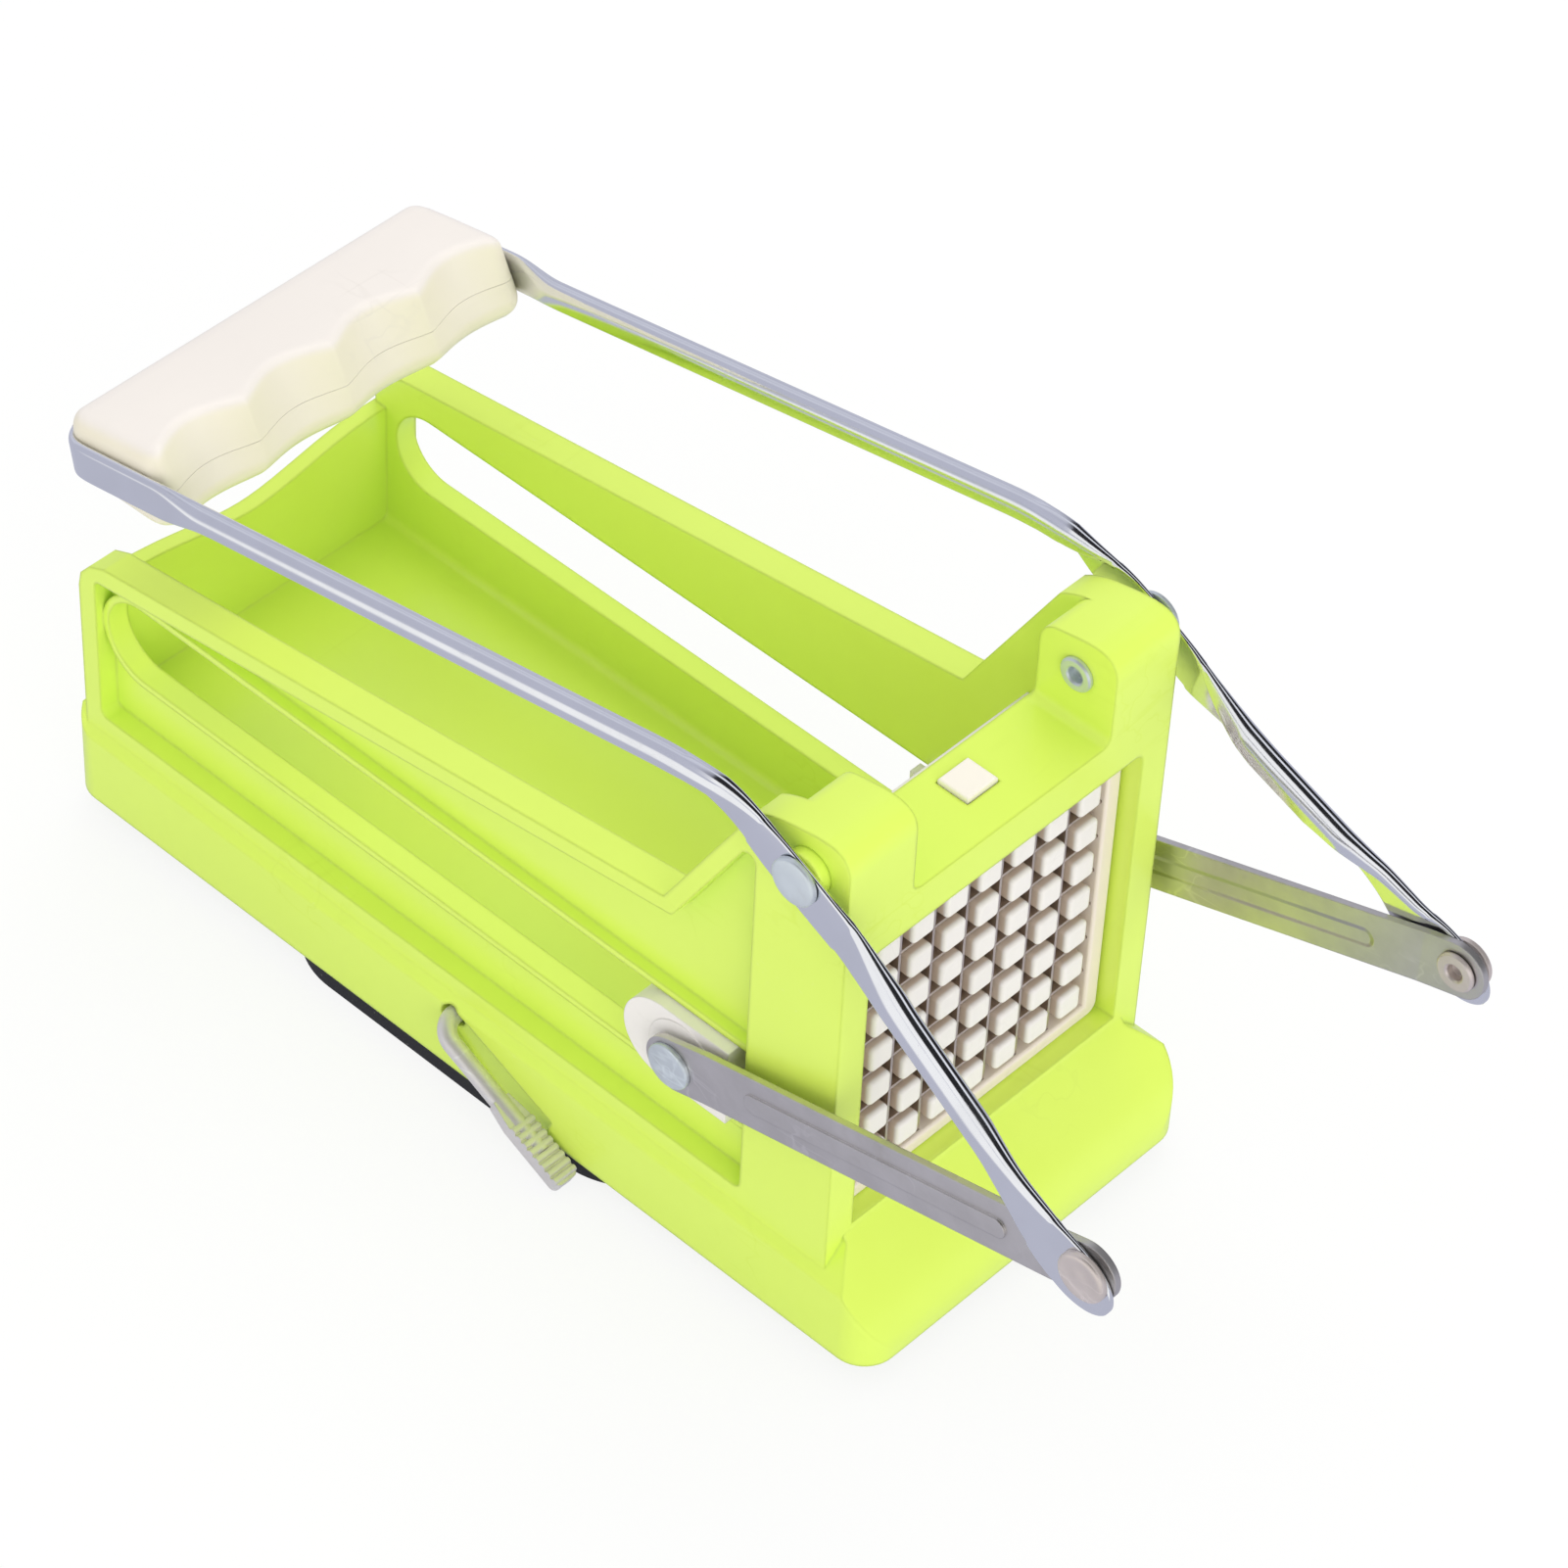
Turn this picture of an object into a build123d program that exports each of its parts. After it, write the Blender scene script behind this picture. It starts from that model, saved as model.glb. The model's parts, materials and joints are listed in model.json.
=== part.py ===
from build123d import *
import os
from math import atan2, cos, degrees, radians, sin

# French fry cutter with a lever: the grip is raised, the links draw the pusher back, a potato is laid
# in the tray, and pressing the grip down drives the pusher's fingers through the blade grid.
#
# Millimetres. +X runs from the grip end to the blade end, +Z is up, y = 0 is the middle plane and the
# near side, with the suction lever, is -Y. The origin is the centre of the suction pad's underside.
# Outlines below are drawn on planes whose own x is measured from the rear of the skirt and whose own
# height is measured from the skirt's bottom edge.

os.makedirs("parts", exist_ok=True)

# ---------------------------------------------------------------- driving dimensions
# Housing
body_length = 241.8        # skirt, rear to toe of the apron
body_width = 100.0         # skirt, side to side
skirt_height = 18.5        # upright part of the skirt's side
skirt_corner = 8.0
skirt_wall = 2.7
floor_top = 27.0           # tray floor above the skirt's bottom edge
floor_thickness = 2.7
apron_depth = 14.6         # toe of the apron in front of the posts
tray_width = 80.6          # between the side walls
panel_wall = 2.7           # side wall inside its border
border_wall = 7.7          # border of the side wall, also the posts
rear_wall_out = 4.0        # outer face of the rear wall from the skirt's rear
rear_wall_in = 8.0
rear_wall_top = 60.0
rear_wall_dip = 5.0
rail_low = 71.3            # top of the side wall behind its rear corner
rail_rise = 0.138          # rise of the side wall's top per unit of length
rail_flange = 4.0          # depth of the border along the top
post_depth = 24.2          # posts and cross beam, front to back
beam_bottom = 107.0
beam_top = 117.0
beam_skin = 2.7
ear_height = 21.5          # top of the ear above the beam
boss_reach = 29.0          # inner face of the ear's boss from the middle plane
sill_height = 1.7
boss_depth = 20.4          # bosses inside the ears, front to back
inner_round = 2.5          # concave corners beside the beam and above the opening
tray_round = 2.0           # corner of the tray's floor and its side walls
slot_middle = 53.3         # height of the guide slot's centre line
slot_height = 21.5
slot_rear = 11.3           # rear end of the slot from the skirt's rear
slot_lip = 1.8
slot_lip_out = 2.9         # how far the lip stands out of the panel

# Blade cartridge
cell_pitch = 9.95
cells = 7
cartridge_setback = 4.2    # front of the cartridge behind the posts' front face
cartridge_depth = 18.0
cartridge_rim = 4.3        # between the window and the frame's sides
blade_thickness = 0.7
blade_width = 12.0
blade_setback = 1.3        # blade edge behind the cartridge's front
blade_seat = 2.0           # how deep a blade's end sits in the frame

# Pusher
finger_size = 6.4
finger_round = 1.2         # radius of the fingers' long edges
finger_dome = 0.9          # radius round their tips
finger_length = 23.2
finger_proud = 0.4         # finger tips beyond the cartridge's front at rest
pusher_plate = 3.6
ear_length = 29.0
ear_stub = 8.4             # how far the pusher's ears stand out of the side walls' inner faces

# Lever and links
pivot_back = 9.9           # lever pivot behind the posts' front face
pivot_rise = 13.0          # lever pivot above the beam
lever_front = 92.5         # lever pivot to link pivot
lever_droop = 27.5         # degrees that the front arm points down at rest
arm_tilt = 10.92           # degrees that the rear arms rise towards the pivot
arm_span = 98.4            # between the rear arms
strip_width = 4.2          # folded strip, side to side
strip_height = 6.1         # folded strip, top to bottom
strip_gauge = 1.0
belt_height = 9.0          # strip round the grip
belt_gauge = 2.0
arm_kink = 31.3            # kink of the arm behind the lever pivot
arm_kink_rise = 8.9        # centre of the strip above the lever pivot there
arm_rear = 162.0           # kink to the middle of the grip, measured level
web_at_pivot = 52.1        # outer face of the lever at its pivot, from the middle plane
web_at_link = 57.5         # and at the link pivot
link_length = 118.0
link_width = 13.5
link_gauge = 1.5
link_rib = 4.6             # width of the rib pressed along the link
rivet_shank = 6.0
rivet_head = 11.0
rivet_head_height = 1.4

# Grip
grip_rear = 16.3           # grip behind its centre line
grip_front = 16.6          # grip in front of its centre line, at the seam
grip_above = 10.2
grip_below = 11.2
finger_grips = 4
finger_pitch = 25.0
finger_depth = 4.0

# Suction base
pad_length = 116.0
pad_width = 98.0
pad_corner = 22.0
pad_thickness = 5.5
pad_rim = 1.2
pad_centre = 118.0         # from the skirt's rear
rod_diameter = 4.3
rod_height = 15.9          # suction rod above the skirt's bottom edge
rod_forward = 3.2          # suction rod in front of the pad's centre
rod_out = 4.0              # rod's centre line outside the skirt
thumb_length = 16.5
thumb_width = 6.2
thumb_reach = 42.9         # pivot to the tip of the thumb pad
thumb_droop = 25.9         # degrees below level at rest
thumb_swing = 60.0
cam_offset = 2.5
cam_radius = 4.0

# Clearances
rivet_clearance = 0.05     # running fit, on the radius
slide_gap = 0.4            # pusher in its slots and between the blades
face_gap = 0.3             # flat faces of pieces that move past each other
seat_gap = 0.1             # pieces that are fitted into a pocket
rest_gap = 0.05            # pieces that rest against each other

# ---------------------------------------------------------------- derived places
front = body_length - apron_depth              # front face of posts and beam
wall_in = tray_width / 2
panel_out = wall_in + panel_wall
border_out = wall_in + border_wall
post_back = front - post_depth
skirt_out = body_width / 2
sill_top = floor_top + sill_height
grid_middle = (sill_top + beam_bottom) / 2     # height of the grid's centre
window_half = cells * cell_pitch / 2 + slide_gap
cartridge_half = window_half + cartridge_rim
cartridge_tall = beam_bottom - sill_top - 2 * seat_gap
cartridge_front = front - cartridge_setback
cartridge_back = cartridge_front - cartridge_depth
finger_tip = cartridge_front + finger_proud
plate_front = finger_tip - finger_length
plate_back = plate_front - pusher_plate

pivot_x = front - pivot_back
pivot_z = beam_top + pivot_rise
tip_x = pivot_x + lever_front * cos(radians(lever_droop))      # pivot of lever and link at rest
tip_z = pivot_z - lever_front * sin(radians(lever_droop))
link_drop = tip_z - slot_middle
link_back = (link_length**2 - link_drop**2) ** 0.5
slide_x = tip_x - link_back                                    # pusher's pivot at rest
link_angle = degrees(atan2(link_drop, link_back))
boss_face = wall_in + ear_stub + face_gap
link_at_tip = web_at_link - strip_gauge - face_gap             # outer face of the link, front end
link_at_slide = boss_face + 3.0                                # outer face of the link, rear end

all_nodes = []


def side_plane(y=0.0):
    """Upright plane at one y: x runs forward from the skirt's rear, height from its bottom edge."""
    return Plane(origin=(-pad_centre, y, pad_thickness), x_dir=(1, 0, 0), z_dir=(0, -1, 0))


def level_plane(height=0.0):
    """Level plane at a height above the skirt's bottom edge, its x measured from the skirt's rear."""
    return Plane(origin=(-pad_centre, 0, pad_thickness + height), x_dir=(1, 0, 0), z_dir=(0, 0, 1))


def cross_plane(x=0.0):
    """Upright plane across the body at x from the skirt's rear, drawn in y and height."""
    return Plane(origin=(x - pad_centre, 0, pad_thickness), x_dir=(0, 1, 0), z_dir=(1, 0, 0))


def rail_top(x):
    """Height of the side wall's top edge at x."""
    return rail_low + rail_rise * (x - 14.0)


def outward(side, distance):
    """Extrusion from a side plane, away from the middle plane on the given side (-1 near, 1 far)."""
    return -side * distance


def keep(part, label):
    """Label a finished piece and write its STEP file."""
    part.label = label
    export_step(part, f"parts/{label}.step")
    all_nodes.append(label)


# ---------------------------------------------------------------- housing
ear_back_x = post_back - 1.0
rail_end_x = front - 48.2                      # top rail ends where the slanted edge to the ear starts
rail_end_z = rail_top(rail_end_x)
ear_foot_z = beam_top + ear_height - 4.5
ear_slope = (ear_foot_z - rail_end_z) / (ear_back_x - rail_end_x)
flange_foot = rail_end_x + rail_flange / sin(atan2(ear_slope, 1.0))
recess_top_x = (rail_top(0) - rail_flange - rail_end_z + flange_foot * ear_slope) / (ear_slope - rail_rise)
recess_top_z = rail_top(recess_top_x) - rail_flange
recess_post_z = recess_top_z + (post_back - recess_top_x) * ear_slope
shoulder_top = skirt_height + skirt_out - panel_out
slot_half = slot_height / 2
slot_centre_x = slot_rear + slot_half
rear_rib = 9.6                                 # inner edge of the side wall's rear border
button_x = front - 13.0
button_y = 1.0
button_hole = (8.7, 9.5)
rod_x = pad_centre + rod_forward



def wall_side():
    """Side outline of a side wall with its post and ear, in x and height."""
    with BuildSketch(Plane.XY) as outline:
        with BuildLine():
            Polyline(
                (4.6, 21.0),
                (4.6, 61.5),
                (5.4, 65.6),
                (8.2, 69.0),
                (13.0, rail_top(13.0)),
                (rail_end_x, rail_end_z),
                (ear_back_x, ear_foot_z),
            )
            Spline(
                (ear_back_x, ear_foot_z),
                (pivot_x - 3, beam_top + ear_height),
                (front, beam_top + ear_height - 5),
                tangents=((0.9, 0.65), (0, -1)),
            )
            Polyline((front, beam_top + ear_height - 5), (front, 19.0), (4.6, 19.0), (4.6, 21.0))
        make_face()
    return outline.sketch


def edges_along_x(part, y, height):
    """Edges of a part that run along X at y on either side and at a height above the skirt's bottom edge."""
    return part.edges().filter_by(Axis.X).filter_by(
        lambda e: abs(abs(e.center().Y) - y) < 0.01 and abs(e.center().Z - pad_thickness - height) < 0.01
    )


with BuildPart() as underside:
    with BuildSketch(cross_plane()):
        with BuildLine():
            Polyline(
                (-skirt_out + skirt_wall, -1),
                (-skirt_out + skirt_wall, skirt_height - 1.1),
                (-panel_out + skirt_wall, floor_top - floor_thickness),
                (panel_out - skirt_wall, floor_top - floor_thickness),
                (skirt_out - skirt_wall, skirt_height - 1.1),
                (skirt_out - skirt_wall, -1),
                close=True,
            )
        make_face()
    extrude(amount=body_length)
    with BuildSketch(side_plane()):
        with BuildLine():
            Polyline(
                (skirt_wall, -1),
                (skirt_wall, 20.0),
                (rear_wall_out + skirt_wall, floor_top - floor_thickness),
                (front - skirt_wall, floor_top - floor_thickness),
                (front + 6.4, 14.2),
                (front + 9.6, 9.0),
                (body_length - skirt_wall, 3.5),
                (body_length - skirt_wall, -1),
                close=True,
            )
        make_face()
    extrude(amount=skirt_out, both=True, mode=Mode.INTERSECT)

with BuildPart() as housing:
    # Skirt with shoulder and apron: plan, cross-section and side outline meet in one block
    with BuildSketch(level_plane()):
        with Locations((body_length / 2, 0)):
            RectangleRounded(body_length, body_width, skirt_corner)
    extrude(amount=floor_top)
    with BuildSketch(cross_plane()):
        with BuildLine():
            Polyline(
                (-skirt_out, 0),
                (-skirt_out, skirt_height),
                (-panel_out, shoulder_top),
                (-panel_out, floor_top),
                (panel_out, floor_top),
                (panel_out, shoulder_top),
                (skirt_out, skirt_height),
                (skirt_out, 0),
                close=True,
            )
        make_face()
    extrude(amount=body_length, mode=Mode.INTERSECT)
    with BuildSketch(side_plane()):
        with BuildLine():
            Polyline((body_length, 0), (0, 0), (0, 21.5), (1.5, 23.0), (rear_wall_out, 23.0),
                     (rear_wall_out, floor_top), (front, floor_top))
            Line((front, floor_top), (front + 9.2, 15.4))
            Spline((front + 9.2, 15.4), (front + 12.9, 9.6), (body_length, 3.0),
                   tangents=((0.62, -0.78), (0, -1)))
            Line((body_length, 3.0), (body_length, 0))
        make_face()
    extrude(amount=skirt_out, both=True, mode=Mode.INTERSECT)
    fillet(housing.edges().filter_by(Axis.X).group_by(Axis.Z)[-1], radius=0.6)

    # Rear wall, its top edge dipping between the side walls
    with BuildSketch(cross_plane(rear_wall_out)):
        with BuildLine():
            Line((-border_out + 2, 20), (border_out - 2, 20))
            Line((border_out - 2, 20), (border_out - 2, rear_wall_top))
            Line((border_out - 2, rear_wall_top), (wall_in - 5, rear_wall_top))
            Spline(
                (wall_in - 5, rear_wall_top),
                (0, rear_wall_top - rear_wall_dip),
                (5 - wall_in, rear_wall_top),
                tangents=((-1, -0.05), (-1, 0.05)),
            )
            Line((5 - wall_in, rear_wall_top), (2 - border_out, rear_wall_top))
            Line((2 - border_out, rear_wall_top), (2 - border_out, 20))
        make_face()
    extrude(amount=rear_wall_in - rear_wall_out)

    # Side walls with posts and ears, solid at first
    for side in (-1, 1):
        with BuildSketch(side_plane(side * wall_in)):
            add(wall_side())
        extrude(amount=outward(side, border_wall))

    # The panels are recessed inside their borders
    for side in (-1, 1):
        with BuildSketch(side_plane(side * panel_out)) as recess:
            with BuildLine():
                Polyline(
                    (rear_rib, shoulder_top),
                    (post_back, shoulder_top),
                    (post_back, recess_post_z),
                    (recess_top_x, recess_top_z),
                    (rear_rib, rail_top(rear_rib) - rail_flange - 1.0),
                    close=True,
                )
            make_face()
            fillet(recess.vertices(), radius=2.0)
        extrude(amount=outward(side, border_wall), mode=Mode.SUBTRACT)

    # Cross beam, a shell that is open underneath, and the bosses inside the ears
    with BuildSketch(level_plane(beam_bottom)):
        with Locations((front - 10.6, 0)):
            Rectangle(21.2, tray_width + 2)
    extrude(amount=beam_top - beam_bottom)
    with BuildSketch(level_plane(beam_bottom)):
        with Locations((front - 10.6, 0)):
            Rectangle(21.2 - 2 * skirt_wall, 2 * boss_reach)
    extrude(amount=beam_top - beam_bottom - beam_skin, mode=Mode.SUBTRACT)
    for side in (-1, 1):
        with BuildSketch(side_plane(side * boss_reach)) as boss:
            add(wall_side())
            with Locations((front - boss_depth / 2, beam_top + ear_height / 2)):
                Rectangle(boss_depth, ear_height + 2, mode=Mode.INTERSECT)
            fillet(boss.vertices().group_by(Axis.X)[0].sort_by(Axis.Y)[-1], radius=5.0)
        extrude(amount=outward(side, wall_in - boss_reach + 1))
    fillet(edges_along_x(housing, boss_reach, beam_top), radius=inner_round)
    fillet(edges_along_x(housing, wall_in, beam_bottom), radius=inner_round)
    fillet(edges_along_x(housing, wall_in, floor_top), radius=tray_round)

    # Guide slots, each with a thin lip standing out of the panel
    for side in (-1, 1):
        for grow, reach, action in ((slot_lip, panel_wall + slot_lip_out, Mode.ADD),
                                    (0, border_wall + 1, Mode.SUBTRACT)):
            with BuildSketch(side_plane(side * wall_in)):
                with BuildLine():
                    Line((post_back + 0.4 * grow, slot_middle - slot_half - grow),
                         (slot_centre_x, slot_middle - slot_half - grow))
                    ThreePointArc((slot_centre_x, slot_middle - slot_half - grow),
                                  (slot_rear - grow, slot_middle),
                                  (slot_centre_x, slot_middle + slot_half + grow))
                    Polyline((slot_centre_x, slot_middle + slot_half + grow),
                             (post_back + 0.4 * grow, slot_middle + slot_half + grow),
                             (post_back + 0.4 * grow, slot_middle - slot_half - grow))
                make_face()
            extrude(amount=outward(side, reach), mode=action)

    # Sill under the cartridge
    with BuildSketch(level_plane(floor_top - 0.5)):
        with Locations(((cartridge_back + front) / 2, 0)):
            Rectangle(front - cartridge_back, tray_width + 1)
    extrude(amount=sill_height + 0.5)

    # Hollow underside, under the floor, the shoulder and the apron
    add(underside.part, mode=Mode.SUBTRACT)

    # Bearings for the suction rod, hung under the floor, and the hole for it in the near skirt
    for bearing_y in (-30.0, 18.0):
        with BuildSketch(side_plane(bearing_y)):
            with Locations((rod_x, (rod_height - 5.5 + floor_top) / 2)):
                Rectangle(14.0, floor_top - rod_height + 5.5)
        extrude(amount=2.0, both=True)
    with BuildSketch(side_plane(-skirt_out + 10)):
        with Locations((rod_x, rod_height)):
            Circle(rod_diameter / 2 + 0.9)
    extrude(amount=14, mode=Mode.SUBTRACT)
    with BuildSketch(side_plane()):
        with Locations((rod_x, rod_height)):
            Circle(rod_diameter / 2 + rivet_clearance)
    extrude(amount=35, both=True, mode=Mode.SUBTRACT)

    # Finger relief in the skirt beside the thumb pad
    with BuildSketch(side_plane(-skirt_out)):
        with BuildLine():
            Polyline((rod_x + 1.5, rod_height + 2.4), (rod_x + 30, 6.0), (rod_x + 27, -1), (rod_x + 16, -1),
                     (rod_x - 1, rod_height - 3), close=True)
        make_face()
    extrude(amount=-1.2, mode=Mode.SUBTRACT)

    # Window for the latch button, seat for the cartridge's foot, and the lever's pivot bores
    with BuildSketch(level_plane(beam_bottom)):
        with Locations((button_x, button_y)):
            Rectangle(*button_hole)
    extrude(amount=beam_top - beam_bottom + 1, mode=Mode.SUBTRACT)
    with BuildSketch(level_plane(sill_top)):
        with Locations((button_x, button_y)):
            Rectangle(*button_hole)
    extrude(amount=-1.6, mode=Mode.SUBTRACT)
    with BuildSketch(side_plane()):
        with Locations((pivot_x, pivot_z)):
            Circle(rivet_shank / 2)
    extrude(amount=body_width, both=True, mode=Mode.SUBTRACT)

keep(housing.part, "housing")

# ---------------------------------------------------------------- blade cartridge
button_block = (button_hole[0] - 2 * face_gap, button_hole[1] - 2 * face_gap)
blade_front = cartridge_front - blade_setback
blade_back = blade_front - blade_width
crossing = [cell_pitch * (i - (cells - 2) / 2) for i in range(cells - 1)]
blade_reach = window_half + blade_seat

with BuildPart() as cartridge_frame:
    with BuildSketch(cross_plane(cartridge_back)) as rim:
        with Locations((0, grid_middle)):
            RectangleRounded(2 * cartridge_half, cartridge_tall, 3.0)
            Rectangle(2 * window_half, 2 * window_half, mode=Mode.SUBTRACT)
    extrude(amount=cartridge_depth)
    fillet(cartridge_frame.edges().group_by(Axis.X)[-1], radius=0.8)
    # Slots that hold the blades' ends
    for place in crossing:
        with BuildSketch(cross_plane(blade_back)):
            with Locations((place, grid_middle)):
                Rectangle(blade_thickness + seat_gap, 2 * blade_reach + seat_gap)
            with Locations((0, grid_middle + place)):
                Rectangle(2 * blade_reach + seat_gap, blade_thickness + seat_gap)
        extrude(amount=blade_width + seat_gap, mode=Mode.SUBTRACT)
    # Foot that drops into the sill
    with BuildSketch(level_plane(sill_top + seat_gap)):
        with Locations((button_x, button_y)):
            Rectangle(*button_block)
    extrude(amount=-1.4)

keep(cartridge_frame.part, "cartridge_frame")

with BuildPart() as vertical_blades:
    for place in crossing:
        with BuildSketch(side_plane(place)):
            with Locations(((blade_front + blade_back) / 2, grid_middle)):
                Rectangle(blade_width, 2 * blade_reach)
            # half-lap slots from the front, one for each crossing blade
            for cross in crossing:
                with Locations((blade_front - blade_width / 4, grid_middle + cross)):
                    Rectangle(blade_width / 2 + seat_gap, blade_thickness + 2 * seat_gap, mode=Mode.SUBTRACT)
        extrude(amount=blade_thickness / 2, both=True)

keep(vertical_blades.part, "vertical_blades")

with BuildPart() as horizontal_blades:
    for place in crossing:
        with BuildSketch(level_plane(grid_middle + place)):
            with Locations(((blade_front + blade_back) / 2, 0)):
                Rectangle(blade_width, 2 * blade_reach)
            # half-lap slots from the back
            for cross in crossing:
                with Locations((blade_back + blade_width / 4, cross)):
                    Rectangle(blade_width / 2 + seat_gap, blade_thickness + 2 * seat_gap, mode=Mode.SUBTRACT)
        extrude(amount=blade_thickness / 2, both=True)

keep(horizontal_blades.part, "horizontal_blades")

# ---------------------------------------------------------------- latch button
button_stand = 1.2
button_foot = 3.4          # block below the beam's skin
skin_under = beam_top - beam_skin

with BuildPart() as latch_button:
    with BuildSketch(level_plane(skin_under - face_gap / 2)):
        with Locations((button_x + 0.85, button_y)):
            Rectangle(button_hole[0] + 2.3, button_hole[1] + 4.0)
    extrude(amount=-1.6)
    with BuildSketch(level_plane(skin_under - button_foot)):
        with Locations((button_x, button_y)):
            Rectangle(*button_block)
    extrude(amount=beam_skin + button_foot + button_stand)
    fillet(latch_button.edges().group_by(Axis.Z)[-1], radius=0.6)

keep(latch_button.part, "latch_button")

# ---------------------------------------------------------------- pusher
finger_rows = [cell_pitch * (i - (cells - 1) / 2) for i in range(cells)]
plate_half = wall_in - slide_gap
cheek_back = slide_x - ear_length / 2 - 1.9
ear_front = cheek_back + ear_length
ear_half = slot_half - slide_gap

with BuildPart() as pusher:
    with BuildSketch(cross_plane(plate_back)):
        with Locations((0, grid_middle)):
            Rectangle(2 * plate_half, 2 * window_half)
    extrude(amount=pusher_plate)
    # Fingers, one for each cell, their tips slightly domed
    with BuildSketch(cross_plane(plate_front - 0.5)):
        with Locations(*[(y, grid_middle + z) for y in finger_rows for z in finger_rows]):
            RectangleRounded(finger_size, finger_size, finger_round)
    extrude(amount=finger_length + 0.5)
    fillet(pusher.edges().group_by(Axis.X)[-1], radius=finger_dome)
    # Cheeks along the side walls carry the ears, which pass out through the slots
    for side in (-1, 1):
        with BuildSketch(side_plane(side * (plate_half - 3.2))):
            with Locations(((cheek_back + plate_front) / 2, slot_middle)):
                Rectangle(plate_front - cheek_back, 2 * ear_half)
        extrude(amount=outward(side, 3.2))
        with BuildSketch(side_plane(side * (plate_half - 3.2))) as ear:
            with BuildLine():
                Line((ear_front, slot_middle - ear_half), (cheek_back + ear_half, slot_middle - ear_half))
                ThreePointArc((cheek_back + ear_half, slot_middle - ear_half), (cheek_back, slot_middle),
                              (cheek_back + ear_half, slot_middle + ear_half))
                Polyline((cheek_back + ear_half, slot_middle + ear_half), (ear_front, slot_middle + ear_half),
                         (ear_front, slot_middle - ear_half))
            make_face()
        extrude(amount=outward(side, ear_stub + slide_gap + 3.2))
        with BuildSketch(side_plane(side * (wall_in + ear_stub - 1))):
            with Locations((slide_x, slot_middle)):
                Circle(9.0)
        extrude(amount=outward(side, boss_face - wall_in - ear_stub + 1))
    # Ribs stiffen the back of the plate
    for rib_y in (-24.0, -8.0, 8.0, 24.0):
        with BuildSketch(side_plane(rib_y)):
            with Locations((plate_back - 3.0, slot_middle)):
                Rectangle(7.0, 2 * ear_half + 16)
        extrude(amount=1.0, both=True)
    with BuildSketch(level_plane(slot_middle)):
        with Locations((plate_back - 3.0, 0)):
            Rectangle(7.0, 2 * plate_half - 4)
    extrude(amount=1.0, both=True)

keep(pusher.part, "pusher")

# ---------------------------------------------------------------- lever frame
# One folded strip: a flat belt round the grip, a channel open underneath along both arms, and a flat
# web at the pivots. The rear arms and the belt are drawn in the sloping plane of the grip.
tilt = radians(arm_tilt)
grip_x = pivot_x - arm_kink - arm_rear
grip_z = pivot_z + arm_kink_rise - arm_rear * sin(tilt) / cos(tilt)
grip_plane = Plane(
    origin=(grip_x - pad_centre, 0, grip_z + pad_thickness), x_dir=(cos(tilt), 0, sin(tilt)),
    z_dir=(-sin(tilt), 0, cos(tilt)),
)
grip_side = Plane(origin=grip_plane.origin, x_dir=grip_plane.x_dir, z_dir=(0, -1, 0))
grip_end_on = Plane(origin=grip_plane.origin, x_dir=(0, 1, 0), z_dir=grip_plane.x_dir)
arm_out = arm_span / 2 + strip_width
belt_rear = grip_rear + belt_gauge + seat_gap   # outer face of the belt behind the grip's centre line
belt_front = grip_front + 0.8
taper_front = belt_front + 5.0
run_length = (arm_rear - 3.0) / cos(tilt)
half_strip = strip_height / 2
splay_end = 70.0           # from here to its tip the arm's web runs straight, measured from its pivot


def along_lever(along, above):
    """Point in a side plane, measured along the line from lever pivot to link pivot and square to it."""
    droop = radians(lever_droop)
    return (pivot_x + along * cos(droop) + above * sin(droop),
            pivot_z - along * sin(droop) + above * cos(droop))


def arm_point(back, above):
    """Point in a side plane on the rear arm, measured back from the kink and above its centre line."""
    return (pivot_x - arm_kink - back * cos(tilt) - above * sin(tilt),
            pivot_z + arm_kink_rise - back * sin(tilt) + above * cos(tilt))


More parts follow.
